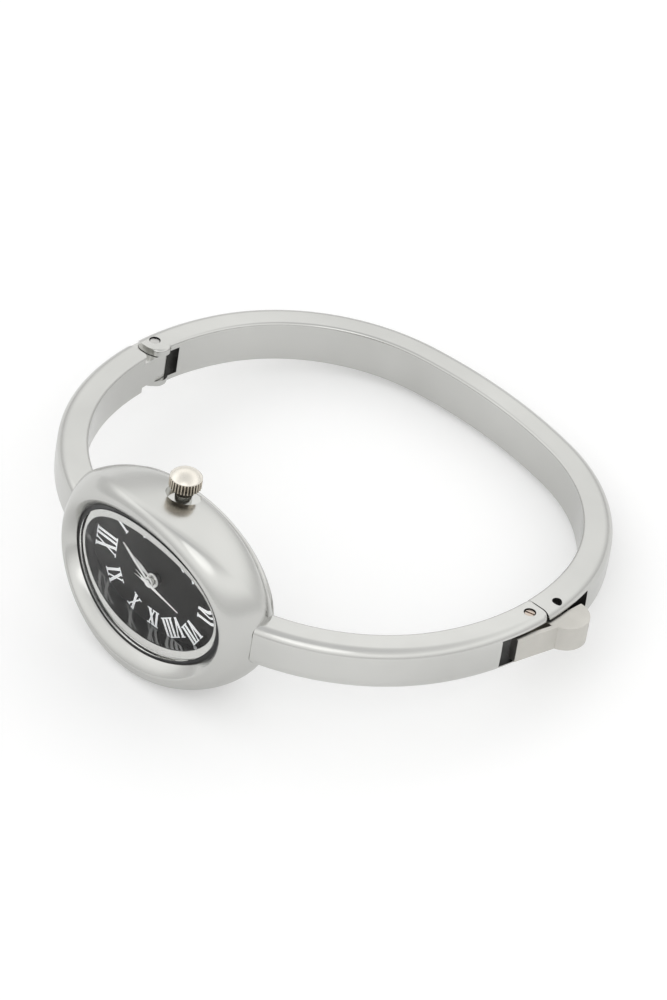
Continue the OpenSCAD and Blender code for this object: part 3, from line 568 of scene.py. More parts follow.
def mirrored(bm, scale=(-1, 1, 1)):
    bmesh.ops.scale(bm, vec=scale, verts=bm.verts)
    bmesh.ops.reverse_faces(bm, faces=bm.faces)
    return bm


# Case

# Squareness of the case's oval, of the dial ring's window and of a plain ellipse
SQUARED, WINDOW, ELLIPSE = 2.14, 2.03, 2


def squircle(angle, a, b, n):
    c, s = math.cos(angle), math.sin(angle)
    return (a * math.copysign(abs(c) ** (2 / n), c), b * math.copysign(abs(s) ** (2 / n), s))


class Shell:
    """A surface through rows of ovals: (half length, half width, squareness, height, bow)."""

    def __init__(self, first, segments=256):
        self.bm = bmesh.new()
        self.turns = self.bm.verts.layers.float.new("turn")
        made = bmesh.ops.create_circle(self.bm, segments=segments, radius=1)["verts"]
        for v in made:
            v[self.turns] = math.atan2(v.co.y, v.co.x)
        self.first = self.edges = self.bm.edges[:]
        self.lay(made, first)

    def lay(self, verts, row):
        a, b, n, height, bow = row
        for v in verts:
            x, y = squircle(v[self.turns], a, b, n)
            share = x / a
            v.co = (x, y, height - bow * share * share)

    def add(self, *rows):
        for row in rows:
            self.edges, made = extruded(self.bm, self.edges)
            self.lay(made, row)

    def joined(self):
        """Joins the last row to the first, and returns the mesh."""
        bmesh.ops.bridge_loops(self.bm, edges=self.first + self.edges)
        return self.bm

    def capped(self):
        """Closes both ends, and returns the mesh."""
        bmesh.ops.holes_fill(self.bm, edges=self.bm.edges)
        return self.bm


def drawn_in(a, b, *steps, n=SQUARED, bow=0):
    """Ovals a and b in half size less each step's inset, at its height."""
    return [(a - inset, b - inset, n, height, bow) for inset, height in steps]


def rear_edge(s):
    """The half length and half width of the shell's rear edge."""
    return s.half_length - s.rear_in_length, s.half_width - s.rear_in_width


def along_stem(radius, low, high):
    return rod(radius, low, high, Matrix.Translation((0, 0, in_mm("case").stem)) @ TO_STEM, 96)


class BANGLE_OT_case_shell(bpy.types.Operator):
    """Oval shell with its rounded front, crystal lip and crown recess"""

    bl_idname = "bangle.case_shell"
    bl_label = "Case Shell"

    def execute(self, context):
        s = in_mm("case")
        a, b, la, lb = s.half_length, s.half_width, s.lip_length, s.lip_width
        ridge_a, ridge_b = la + s.slope_length, lb + s.slope_width

        def side(t):
            """The row at t, from -1 at the rear edge to 0 at the widest line."""
            f = 1 - math.sqrt(1 - t * t)
            return (a - s.rear_in_length * f, b - s.rear_in_width * f, SQUARED, s.crest * (1 + t),
                    s.crest_bow * (1 + t))

        def front(t):
            """The row at t, from 0 at the widest line to 1 at the ridge."""
            f, g = (wave(t * math.pi / 2) ** (2 / 1.5) for wave in (math.cos, math.sin))
            return (ridge_a + (a - ridge_a) * f, ridge_b + (b - ridge_b) * f, ELLIPSE + 0.14 * f,
                    s.crest + (s.ridge - s.crest) * g, s.crest_bow + (s.lip_bow - s.crest_bow) * g)

        def slope(u):
            """The row at u, from 0 at the ridge to 1 at the lip."""
            return (ridge_a - s.slope_length * u, ridge_b - s.slope_width * u, ELLIPSE,
                    s.ridge - (s.ridge - s.lip) * u ** 1.3, s.lip_bow)

        rows = [side(t) for t in (-0.985, -0.95, -0.9, -0.82, -0.7, -0.55, -0.4, -0.25, -0.12, 0)]
        rows += [front(t / 16) for t in range(1, 16)]
        rows += [slope(u / 8) for u in range(9)]
        for _ in range(3):  # evens out the change from side to front to slope
            rows[10:-1] = [tuple((p + 2 * q + r) / 4 for p, q, r in zip(*rows[i - 1:i + 2]))
                           for i in range(10, len(rows) - 1)]
        shell = Shell(side(-0.9995))
        shell.add(*rows, *drawn_in(la, lb, (0.02, s.lip - 0.05), (0.02, s.lip - s.crystal), n=ELLIPSE,
                                   bow=s.lip_bow))
        rear_a, rear_b = rear_edge(s)
        wall_a, wall_b, roof = 1.05, 1.2, s.lip - s.lip_bow - 0.6
        shell.add((la, lb, ELLIPSE, roof + 0.01, 0),
                  *drawn_in(rear_a - wall_a, rear_b - wall_b, (0, roof), (0, 0.0)))
        bm = shell.joined()
        bmesh.ops.recalc_face_normals(bm, faces=bm.faces)
        tube_hole, inside, outside = 0.95, 5, 20
        bm = carved(bm, along_stem(s.recess_radius, s.recess_floor, outside),
                    along_stem(tube_hole, inside, outside))

        def on_rim(e):
            return all(abs(math.hypot(v.co.x, v.co.z - s.stem) - s.recess_radius) < 0.01
                       and v.co.y > s.recess_floor + 0.3 for v in e.verts)

        soften(bm, 0.09, 3, 30, on_rim)
        piece(bm, "shell", IN_CASE, "watch", "polished_steel", ["case_shell"], weighted=False)
        return {"FINISHED"}


class BANGLE_OT_case_back(bpy.types.Operator):
    """Rim plate and snap-in caseback behind the shell"""

    bl_idname = "bangle.case_back"
    bl_label = "Case Back"

    def execute(self, context):
        s = in_mm("case")
        a, b = rear_edge(s)
        plug_a, plug_b = a - 1.95, b - 2.1  # the caseback's plug, in the rim plate's opening
        plate_a, plate_b = a + 0.5, b - 0.15
        rim, edge, play = s.rim, 0.12, 0.06
        plate = Shell(*drawn_in(plug_a, plug_b, (-play, 0)))
        plate.add(*drawn_in(plate_a, plate_b, (edge, 0), (0.3 * edge, -0.3 * edge), (0, -edge),
                            (0, -rim + edge), (0.3 * edge, -rim + 0.3 * edge), (edge, -rim)),
                  *drawn_in(plug_a, plug_b, (-play, -rim)))
        piece(plate.joined(), "rim", IN_CASE, "watch", "polished_steel", ["rim_plate"])
        low, flange = -rim - 0.1, 0.9
        back = Shell(*drawn_in(plug_a, plug_b, (0, -play)))
        back.add(*drawn_in(plug_a, plug_b, (0, low)),
                 *drawn_in(plug_a + flange, plug_b + flange, (0.1, low), (0, low - 0.1), (0, low - 0.3),
                           (0.06, low - 0.42), (0.25, low - 0.5), (1.2, low - 0.5), (1.3, low - 0.45),
                           (1.5, low - 0.45), (1.6, low - 0.5)))
        piece(back.capped(), "back_cover", IN_CASE, "watch", "polished_steel", ["caseback"])
        return {"FINISHED"}


class BANGLE_OT_glass(bpy.types.Operator):
    """Bowed crystal, its black gasket and the polished ring round the dial"""

    bl_idname = "bangle.glass"
    bl_label = "Crystal and Dial Ring"

    def execute(self, context):
        s = in_mm("case")
        la, lb, lip, t = s.lip_length, s.lip_width, s.lip, s.crystal
        ga, gb = la - 1.6 * s.gasket, lb - s.gasket

        def bowed(a):
            """The lip's bow at half length a."""
            return s.lip_bow * (a / la) ** 2

        def level(a, b, height):
            return (a, b, ELLIPSE, height, bowed(a))

        def levels(a, b, *steps):
            return [level(a - inset, b - inset, height) for inset, height in steps]

        pole, tenths = (0.05, 0.035), [k / 10 for k in range(1, 10)]
        crystal = Shell(level(*pole, lip), 192)
        crystal.add(*[level(ga * k, gb * k, lip) for k in (*tenths, 0.95, 0.985)],
                    *levels(ga, gb, (0.01, lip - 0.06), (0.01, lip - t + 0.03)),
                    *[level(ga * k, gb * k, lip - t) for k in (0.985, *reversed(tenths))],
                    level(*pole, lip - t))
        piece(crystal.capped(), "glass", IN_CASE, "watch", "crystal_glass", ["crystal"],
              weighted=False)
        seal = Shell(level(ga, gb, lip - t))
        seal.add(*levels(ga, gb, (0, lip - 0.2), (-0.05, lip - 0.15)),
                 *levels(la, lb, (0.08, lip - 0.15), (0.01, lip - 0.21), (0.01, lip - t)))
        piece(seal.joined(), "seal", IN_CASE, "watch", "black_rubber", ["crystal_gasket"])
        wa, wb, dial, top = s.window_length, s.window_width, s.dial, lip - t - 0.03
        a, b = rear_edge(s)
        a, b, shelf = a - 1.1, b - 1.25, lip - s.lip_bow - 0.65
        ring = Shell(*drawn_in(wa, wb, (0, dial), n=WINDOW))
        ring.add(*drawn_in(wa, wb, (0, dial + 0.6), n=WINDOW),
                 *drawn_in(wa, wb, (0, top - 0.2), (0, top - 0.08), (-0.03, top - 0.02), (-0.1, top),
                           n=WINDOW, bow=bowed(wa)),
                 *levels(la, lb, (0.5, top), (0.49, top - 0.12), (0.42, top - 0.12), (0.41, top), (0.2, top),
                         (0.17, top - 0.04)),
                 *drawn_in(la, lb, (0.16, shelf), n=ELLIPSE), *drawn_in(a, b, (0, shelf), (0, dial)))

        # Faces under the dial ring's face take the darkened steel: painted shade
        def under_face(f):
            x, y, _ = f.calc_center_median()
            return abs(f.normal.z) < 0.4 and y ** 2 / wb ** 2 + x ** 2 / wa ** 2 < 1.04

        piece(ring.joined(), "dial_wall", IN_CASE, "watch", "mirror_steel", ["dial_ring"],
              inside=("smoked_steel", under_face))
        return {"FINISHED"}


# Each letter's strokes in a box of height 1: its width, and (from x, from y, to x, to y, whether thick)
GLYPHS = {
    "I": (0.20, [(0.10, 0, 0.10, 1, True)]),
    "V": (0.46, [(0.08, 1, 0.24, 0, True), (0.24, 0, 0.39, 1, False)]),
    "X": (0.52, [(0.09, 1, 0.43, 0, True), (0.41, 1, 0.10, 0, False)]),
}
# Each hour's numeral, its middle on the dial, its height and width in millimetres, and its turn from 12
# o'clock in degrees
HOURS = (
    ("XII", -7.77, -0.08, 3.1, 2.6, 0), ("I", -6.05, 3.35, 2.3, 0.5, 27), ("II", -2.70, 4.89, 2.1, 1.0, 61),
    ("III", 0.22, 5.13, 1.95, 1.5, 90), ("IIII", 3.22, 4.52, 2.0, 2.2, 125), ("V", 5.97, 3.28, 2.3, 1.2, 151),
    ("VI", 7.75, 0.05, 2.8, 1.9, 180), ("VII", 5.97, -3.28, 2.4, 2.2, 209),
    ("VIII", 3.25, -4.5, 2.3, 3.0, 235), ("IX", 0.22, -5.13, 1.95, 1.55, 267.5),
    ("X", -2.70, -4.89, 2.1, 1.2, 299), ("XI", -5.95, -3.45, 2.3, 1.8, 330),
)


class BANGLE_OT_dial_print(bpy.types.Operator):
    """Roman numerals printed on the black dial"""

    bl_idname = "bangle.dial_print"
    bl_label = "Dial Print"

    def stroke(self, bm, start, end, half, matrix):
        """A stroke as one flat face, its ends level with the numeral's foot and head."""
        flat_face(bm, [(start[0] - half, start[1]), (start[0] + half, start[1]), (end[0] + half, end[1]),
                       (end[0] - half, end[1])], 0, matrix)

    def execute(self, context):
        h = in_mm("hands")
        serif, ink = 0.8 * h.hairline, 0.02
        bm = bmesh.new()
        for word, x, y, high, wide, degrees in HOURS:
            c, s = math.cos(math.radians(degrees)), math.sin(math.radians(degrees))
            matrix = Matrix(((s, -c, 0, x), (c, s, 0, y), (0, 0, 1, in_mm("case").dial), (0, 0, 0, 1)))
            scale = wide / sum(GLYPHS[letter][0] for letter in word)
            at = -wide / 2
            for letter in word:
                width, strokes = GLYPHS[letter]
                for x0, y0, x1, y1, thick in strokes:
                    half = (h.stroke if thick else h.hairline) / 2 * (1.0 if letter == "I" else 1.12)
                    reach = half + (0.13 if thick else 0.15)
                    ends = [(at + x0 * scale, (y0 - 0.5) * high), (at + x1 * scale, (y1 - 0.5) * high)]
                    self.stroke(bm, *ends, half, matrix)
                    for px, py in ends:
                        if letter != "V" or py > 0:
                            inner = py - serif if py > 0 else py + serif
                            self.stroke(bm, (px, py), (px, inner), reach, matrix)
                at += width * scale
        thicken(bm, ink)
        bmesh.ops.transform(bm, matrix=IN_CASE, verts=bm.verts)
        made = loose_object(bm, "numerals")
        made.data.materials.append(finish_named("white_print"))
        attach(made, "watch")
        return {"FINISHED"}


class BANGLE_OT_hands(bpy.types.Operator):
    """Ridged hour and minute hands, and the second hand with its counterweight"""

    bl_idname = "bangle.hands"
    bl_label = "Hands"

    def hand(self, name, node, outline, ridge, thick, boss, height, angle):
        """A hand along -x from one side of its outline, with a ridge along its middle and its boss."""
        bm = bmesh.new()
        flat_face(bm, outline + [(x, -y) for x, y in reversed(outline)])
        bmesh.ops.bisect_plane(bm, geom=bm.verts[:] + bm.edges[:] + bm.faces[:], plane_co=(0, 0, 0),
                               plane_no=(0, 1, 0))
        for v in thicken(bm, thick):
            v.co.z = thick + (ridge if abs(v.co.y) < 1e-4 else 0)
        bm = carved(bm, boss, operation="UNION")
        place = IN_CASE @ Matrix.Translation((0, 0, height)) @ Matrix.Rotation(-angle, 4, "Z")
        piece(bm, name, place, node, "silver_hands", [node], angle=20, weighted=False)

    def execute(self, context):
        h, dial = in_mm("hands"), in_mm("case").dial
        hour, minute = dial + 0.62, dial + 1.17
        second = minute + 0.2
        for kind, long, wide, height, radius, bore, angle in (
                ("hour", h.hour, 0.5, hour, 0.82, 0.62, h.hour_shown),
                ("minute", h.minute, 0.44, minute, 0.62, 0.42, h.shown)):
            outline = [(-bore - 0.02, 0.12), (-long * 0.55, wide / 2), (-long * 0.86, wide * 0.3),
                       (-long, 0.02)]
            high, edge = 0.12, 0.04
            boss = spun([(bore, 0), (radius, 0), (radius, high - edge), (radius - edge, high),
                         (bore + edge, high), (bore, high - edge)], 64, closed=True)
            self.hand(kind + "_lance", kind + "_hand", outline, 0.06, 0.07, boss, height, angle)
        outline = [(1.95, 0.3), (1.25, 0.24), (0.95, 0.1), (0.5, 0.1), (-h.second, 0.05)]
        cap = spun([(0, 0), (0.36, 0), (0.36, 0.07), (0.33, 0.1), (0.26, 0.1), (0.26, 0.15), (0.22, 0.19),
                    (0.08, 0.2), (0, 0.2)], 64)
        self.hand("second_needle", "second_hand", outline, 0.025, 0.055, cap, second, h.second_shown)
        return {"FINISHED"}


RIB = (0.0, 0.0, 0.06, 0.19, 0.19, 0.06)  # depth of the crown's edge over one rib and its groove


class BANGLE_OT_crown(bpy.types.Operator):
    """Ribbed crown with its domed cap"""

    bl_idname = "bangle.crown"
    bl_label = "Crown"

    def execute(self, context):
        s = in_mm("case")
        r, band = s.crown_radius, s.crown_band
        place = IN_CASE @ Matrix.Translation((0, s.crown_low, s.stem)) @ TO_STEM

        # The crown's grooves take the darkened nickel: painted shade
        def in_groove(f):
            return abs(f.normal.z) < 0.9 and f.calc_center_median().xy.length < r - 0.1

        piece(self.ribs(r, band, 30), "crown_ribs", place, "crown", "warm_nickel", ["crown"],
              angle=30, inside=("dark_nickel", in_groove))
        edge, cap_r = 0.1, r - 0.02
        rise = s.crown_dome - edge
        ball = (cap_r * cap_r + rise * rise) / (2 * rise)
        sweep = math.asin(min(1, cap_r / ball))
        if rise > cap_r:
            sweep = math.pi - sweep
        section = [(0, 0.01), (cap_r - 0.06, 0.01), (cap_r - 0.02, 0.03), (cap_r, 0.06), (cap_r, edge)]
        steps = 16
        for i in range(1, steps + 1):
            t = sweep * (1 - i / steps)
            section.append((ball * math.sin(t), edge + rise - ball + ball * math.cos(t)))
        cap = spun([(x, z + band) for x, z in section], 96)
        piece(cap, "crown_cap", place, "crown", "domed_nickel", angle=50, weighted=False)
        # The neck under the crown is darkened: painted shade
        skirt = spun([(0.95, 0.0), (0.95, -0.8), (1.02, -0.8), (1.06, -0.76), (1.06, 0.02)], 72, closed=True)
        piece(skirt, "crown_skirt", place, "crown", "dark_nickel")
        return {"FINISHED"}

    def ribs(self, r, band, count):
        """The band: a circle drawn in at the grooves, raised through its rounded edges."""
        bm = bmesh.new()
        made = bmesh.ops.create_circle(bm, segments=count * len(RIB), radius=r)["verts"]
        for i, v in enumerate(sorted(made, key=lambda v: math.atan2(v.co.y, v.co.x) % ROUND)):
            share = (r - RIB[i % len(RIB)]) / r
            v.co.x *= share
            v.co.y *= share
        ring, last = bm.edges[:], 0.94
        bmesh.ops.scale(bm, vec=(last, last, 1), verts=bm.verts)
        for height, share in ((0.07, 1.0), (band - 0.07, 1.0), (band, 0.95)):
            ring, new = extruded(bm, ring)
            bmesh.ops.scale(bm, vec=(share / last, share / last, 1), verts=new)
            for v in new:
                v.co.z = height
            last = share
        bmesh.ops.holes_fill(bm, edges=bm.edges)
        bmesh.ops.recalc_face_normals(bm, faces=bm.faces)
        return bm


# Bangle


class Path:
    """The strap's line as arcs that turn one way, from the middle of the back to the case."""

    def __init__(self):
        s = in_mm("strap")
        self.radii = [s.back_radius, s.corner_radius, s.side_radius, s.front_radius]
        self.centres, heads, point = [], [0.0], Vector((0, s.back, 0))
        for radius, swing in zip(self.radii, (s.back_turn, s.corner_turn, s.side_turn, 0)):
            head = heads[-1]
            centre = point + radius * Vector((math.sin(head), -math.cos(head), 0))
            self.centres.append(centre)
            head -= swing
            heads.append(head)
            point = centre + radius * Vector((-math.sin(head), math.cos(head), 0))
        self.back_low = math.pi / 2 - s.back_turn
        self.side_top = math.pi / 2 + heads[2]
        self.side_low = self.side_top - s.side_turn
        self.root = -s.root
        self.half = s.thickness / 2
        self.middle = self.radii[2] + self.half

    def side_angle(self, place):
        """The angle of a place that is given by its length along the side stretch."""
        return place / self.middle

    def side_point(self, place, out=0.0):
        t = self.side_angle(place)
        return self.centres[2] + (self.middle + out) * Vector((math.cos(t), math.sin(t), 0))

    def to_arm(self, tip):
        """The stretches of an arm, from inside the case to its tip."""
        return [(self.centres[3], self.radii[3], self.root, self.side_low, 40),
                (self.centres[2], self.radii[2], self.side_low, self.side_angle(tip), 24)]

    def over_back(self, start, end):
        """The stretches of the back arc, from the clasp's side to the hinge's."""
        flip = Matrix.Diagonal((-1, 1, 1))
        c, r = self.centres, self.radii
        turns = [self.side_top, self.back_low, math.pi - self.back_low, math.pi - self.side_top]
        return [(c[2], r[2], self.side_angle(start), turns[0], 16), (c[1], r[1], *turns[:2], 48),
                (c[0], r[0], *turns[1:3], 24), (flip @ c[1], r[1], *turns[2:], 48),
                (flip @ c[2], r[2], turns[3], math.pi - self.side_angle(end), 16)]

    def across(self, start, end, low, high):
        """A block across the strap between two places on the side stretch."""
        beyond = 5
        return prism([self.side_point(place, out) for place, out in (
            (start, -beyond), (start, beyond), (end, beyond), (end, -beyond))], low, high)


def strap(stretches):
    """A strap with rounded edges, spun through its stretches one after another."""
    s = in_mm("strap")
    t, half, rise = s.thickness, s.width / 2, s.crown
    centre, radius, start, _, _ = stretches[0]
    bm = bmesh.new()
    upper = [(t - rise * 0.3, half * 0.45), (t - rise, half), (0, half)]
    corners = [(x, -z) for x, z in reversed(upper)] + [(t, 0)] + upper
    bmesh.ops.contextual_create(bm, geom=[bm.verts.new((x, 0, z)) for x, z in corners])
    inner = [v for v in bm.verts if v.co.x < 0.1]
    outer = [v for v in bm.verts if v.co.x > 0.1 and abs(v.co.z) > half - 0.01]
    bevel(bm, outer, s.outer_edge, 10, "VERTICES")
    bevel(bm, inner, s.inner_edge, 5, "VERTICES")
    bmesh.ops.delete(bm, geom=bm.faces[:], context="FACES_ONLY")
    bmesh.ops.translate(bm, vec=(radius, 0, 0), verts=bm.verts)
    bmesh.ops.rotate(bm, cent=(0, 0, 0), matrix=Matrix.Rotation(start, 3, "Z"), verts=bm.verts)
    bmesh.ops.translate(bm, vec=centre, verts=bm.verts)
    end = bm.verts[:] + bm.edges[:]
    for centre, radius, low, high, steps in stretches:
        end = bmesh.ops.spin(bm, geom=end, cent=centre, axis=(0, 0, 1), angle=high - low, steps=steps,
                             use_merge=False)["geom_last"]
    bmesh.ops.holes_fill(bm, edges=bm.edges)
    bmesh.ops.recalc_face_normals(bm, faces=bm.faces)
    return bm


def corner_tool(path, place, radius, side, way, low, high):
    """What a rounded corner leaves out of the strap's square end, on its outer side where side is 1.
    way is 1 where the end looks up the path."""
    x = path.half - radius
    block = prism([(x, -radius), (x + 3, -radius), (x + 3, 2), (x, 2)], low, high)
    block = carved(block, rod(radius, low - 1, high + 1, Matrix.Translation((x, -radius, 0)), 64))
    if side < 0:
        mirrored(block)
    if way < 0:
        mirrored(block, (1, -1, 1))
    turned = (Matrix.Translation(path.centres[2]) @ Matrix.Rotation(path.side_angle(place), 4, "Z")
              @ Matrix.Translation((path.middle, 0, 0)))
    bmesh.ops.transform(block, matrix=turned, verts=block.verts)
    return block


def slot_wall(path, slot, *holes):
    """The test for faces inside the strap's slots, or inside a hole of (point, radius); these faces get
    painted shade.
    """
    def test(f):
        middle = f.calc_center_bounds()
        if any((middle.xy - point.xy).length < radius for point, radius in holes):
            return abs(f.normal.z) < 0.5
        out = (Vector((abs(middle.x), middle.y)) - path.centres[2].xy).length - path.middle
        near_pins = -8 < middle.y < 12
        between_ears = max(abs(v.co.z) for v in f.verts) < slot / 2 + 0.02
        return near_pins and between_ears and abs(out) < path.half - 0.3
    return test


def pin_rod(point, radius, height):
    return rod(radius, -height / 2, height / 2, Matrix.Translation((point[0], point[1], 0)), 48)


STRAP_EDGE = 0.07, 2, 40  # rounding of the cut edges: width, segments, least angle


class BANGLE_OT_arms(bpy.types.Operator):
    """The rigid arms that leave the case at 12 and 6 o'clock"""

    bl_idname = "bangle.arms"
    bl_label = "Arms"

    def execute(self, context):
        s, c, path = in_mm("strap"), in_mm("clasp"), Path()
        tongue, at, deep = s.slot - s.gap, c.hinge_at, 4
        bm = strap(path.to_arm(at))
        bm = carved(bm, pin_rod(path.side_point(at), c.tongue_radius, tongue), operation="UNION")
        start = at - c.shoulder
        for low in (tongue / 2, -tongue / 2 - deep):
            bm = carved(bm, path.across(start, 3, low, low + deep))
            for side in (1, -1):
                bm = carved(bm, corner_tool(path, start, c.shoulder_rounding, side, 1, low, low + deep))
        bm = carved(bm, pin_rod((-HINGE.x, HINGE.y), s.pin + 0.05, THROUGH))
        soften(bm, *STRAP_EDGE, self.clear_of_case)
        piece(mirrored(bm), "arm_to_hinge", AT_REST, "watch", "polished_steel", ["arm_12"])

        tip = c.screw_at + c.arm_tip
        bm = strap(path.to_arm(tip))
        for side in (1, -1):
            bm = carved(bm, corner_tool(path, tip, c.tip_rounding, side, 1, -deep, deep))
        bm = carved(bm, path.across(c.screw_at - c.arm_slot, tip + 2, -s.slot / 2, s.slot / 2),
                    pin_rod(SCREW, s.pin + 0.12, THROUGH))
        soften(bm, *STRAP_EDGE, self.clear_of_case)
        # The walls of the arm's slot and screw hole are darkened: painted shade
        piece(bm, "arm_to_clasp", AT_REST, "watch", "polished_steel", ["arm_6"],
              inside=("slot_steel", slot_wall(path, s.slot, (SCREW, s.pin + 0.14))))
        return {"FINISHED"}

    def clear_of_case(self, edge):
        return min(v.co.y for v in edge.verts) > -6


class BANGLE_OT_back_arc(bpy.types.Operator):
    """The hinged back of the bangle with its forked ends"""

    bl_idname = "bangle.back_arc"
    bl_label = "Back Arc"

    def execute(self, context):
        s, c, path = in_mm("strap"), in_mm("clasp"), Path()
        foot = c.screw_at + c.arm_tip + s.gap
        at, end, half = c.hinge_at, c.hinge_at - c.ear_nose, s.slot / 2
        bm = strap(path.over_back(foot, end))
        for side in (1, -1):
            bm = carved(bm, mirrored(corner_tool(path, end, c.nose_rounding, side, -1, -4, 4)))
        round_side = path.side_point(at, c.ear_radius - c.ear_over - s.thickness / 2)
        bulge = mirrored(pin_rod(round_side, c.ear_radius, s.width - 0.04))
        soften(bulge, 0.3, 4, 40)
        bm = carved(bm, bulge, operation="UNION")
        bm = carved(bm, path.across(foot - 1, foot - s.gap + c.arc_slot, -half, half),
                    mirrored(path.across(at - 4, at + c.hinge_slot, -half, half)))
        bm = carved(bm, pin_rod(LATCH, s.pin, THROUGH), pin_rod(HINGE, s.pin + 0.08, THROUGH))
        soften(bm, *STRAP_EDGE)
        # The walls of the arc's slots and pin holes are darkened: painted shade
        piece(bm, "arc", AT_REST, "back_arc", "polished_steel", ["back_arc"],
              inside=("slot_steel", slot_wall(path, s.slot, (LATCH, s.pin + 0.02), (HINGE, s.pin + 0.1))))
        return {"FINISHED"}


class BANGLE_OT_clasp(bpy.types.Operator):
    """Cast clasp lever with its thumb lobe, and the pins"""

    bl_idname = "bangle.clasp"
    bl_label = "Clasp and Pins"

    def execute(self, context):
        s, c, path = in_mm("strap"), in_mm("clasp"), Path()
        at, half, high, strip = c.screw_at, s.thickness / 2, c.lever_height, c.strip
        lobe = LATCH + Vector((1.2, 0.35, 0))  # the thumb lobe's middle
        tail, plate_end = path.side_point(at - 3.2, half + 0.3), path.side_point(at + 2.1, half + 1.2)
        wall = LATCH.x + s.pin + 2.5 * s.gap  # the lever's inner wall, outside the latch pin
        bm = prism([tail, plate_end, lobe, (wall - 0.5, LATCH.y - 1.3), SCREW + Vector((0.1, 0.6, 0)),
                    SCREW + Vector((0.1, -0.4, 0)), tail + Vector((-c.plate, 0.1, 0))], -high / 2, high / 2)
        bm = carved(bm, pin_rod(lobe, c.lobe_radius, high), operation="UNION")
        inner_side = [(wall - 0.5, LATCH.y - 1), (wall - 4, LATCH.y - 1), (SCREW.x - 3, SCREW.y + 0.6),
                      (SCREW.x + 0.1, SCREW.y + 0.6)]
        bm = carved(bm, prism(inner_side, -4, 4))
        bm = carved(bm, pin_rod(SCREW, c.hub_radius, high), operation="UNION")
        behind_strip = [path.side_point(at + place, out) for place, out in (
            (-2.6, half - 0.45), (-2.6, half + 0.4 - strip), (1.3, half + 1.06 - strip), (1.3, half - 0.45))]
        bm = carved(bm, prism(behind_strip, 0.5, 4))
        latch_room = prism([(wall - 3, LATCH.y - 1.1), (wall, LATCH.y - 1.1), (wall, LATCH.y + 5),
                            (wall - 3, LATCH.y + 5)], -4, 4)
        bm = carved(bm, latch_room, pin_rod(SCREW, s.pin + 0.05, 8))
        bmesh.ops.dissolve_limit(bm, angle_limit=math.radians(1), verts=bm.verts, edges=bm.edges)
        soften(bm, c.lever_edge, 3, 25)
        # The floor of the lever's recess is darkened: painted shade
        piece(bm, "lever", AT_REST, "clasp_lever", "cast_nickel", ["clasp_lever"],
              inside=("dark_nickel", lambda f: f.normal.z > 0.9 and 0.4 < f.calc_center_median().z < 0.7))
        top = s.width / 2
        self.pin("hinge_rivet", HINGE, s.pin, top - 0.1, "back_arc", "hinge_pin")
        self.pin("latch_rod", LATCH, s.pin - 0.03, top - 0.9, "back_arc", "latch_pin")
        self.pin("screw_pin", SCREW, s.pin, top - 0.1, "watch", "clasp_screw", 0.11)
        return {"FINISHED"}

    def pin(self, name, point, radius, half, body, node, slot=0.0):
        """A pin with turned ends, and a driver slot if it is a screw."""
        bm = pin_rod(point, radius, 2 * half)
        if slot:
            block = prism([(-1, -slot), (1, -slot), (1, slot), (-1, slot)], half - 0.3, half + 1)
            bmesh.ops.transform(block, verts=block.verts,
                                matrix=Matrix.Translation(point) @ Matrix.Rotation(math.radians(20), 4, "Z"))
            bm = carved(bm, block)
        soften(bm, 0.06, 2, 50)
        look = "screw_steel" if slot else "turned_steel"
        piece(bm, name, AT_REST, body, look, [node])


class BANGLE_OT_movement(bpy.types.Operator):
    """Finishes of the dial plate, the gaskets and the quartz movement"""

    bl_idname = "bangle.movement"
    bl_label = "Dial and Movement"

    looks = {
        "dial_black": ["dial"],
        "white_plastic": ["dial_spacer", "movement_holder"],
        "black_plastic": ["driver_chip"],
        "black_rubber": ["caseback_gasket", "crown_gasket"],
        "mirror_steel": ["crown_tube", "battery", "hour_wheel", "cannon_pinion", "seconds_wheel"],
        "turned_steel": ["stem", "bridge_screws", "quartz_can", "battery_strap", "coil_core", "stator",
                         "rotor", "setting_slide"],
        "cast_nickel": ["catch_spring"],
        "brass_plate": ["main_plate", "train_bridge"],
        "circuit_green": ["circuit_board"],
        "copper_wire": ["coil"],
    }

    def execute(self, context):
        chosen = {node: look for look, nodes in self.looks.items() for node in nodes}
        for name, made in frame["nodes"].items():
            made.data.materials.clear()
            made.data.materials.append(finish_named(chosen.get(name, "brass_wheel")))
        return {"FINISHED"}


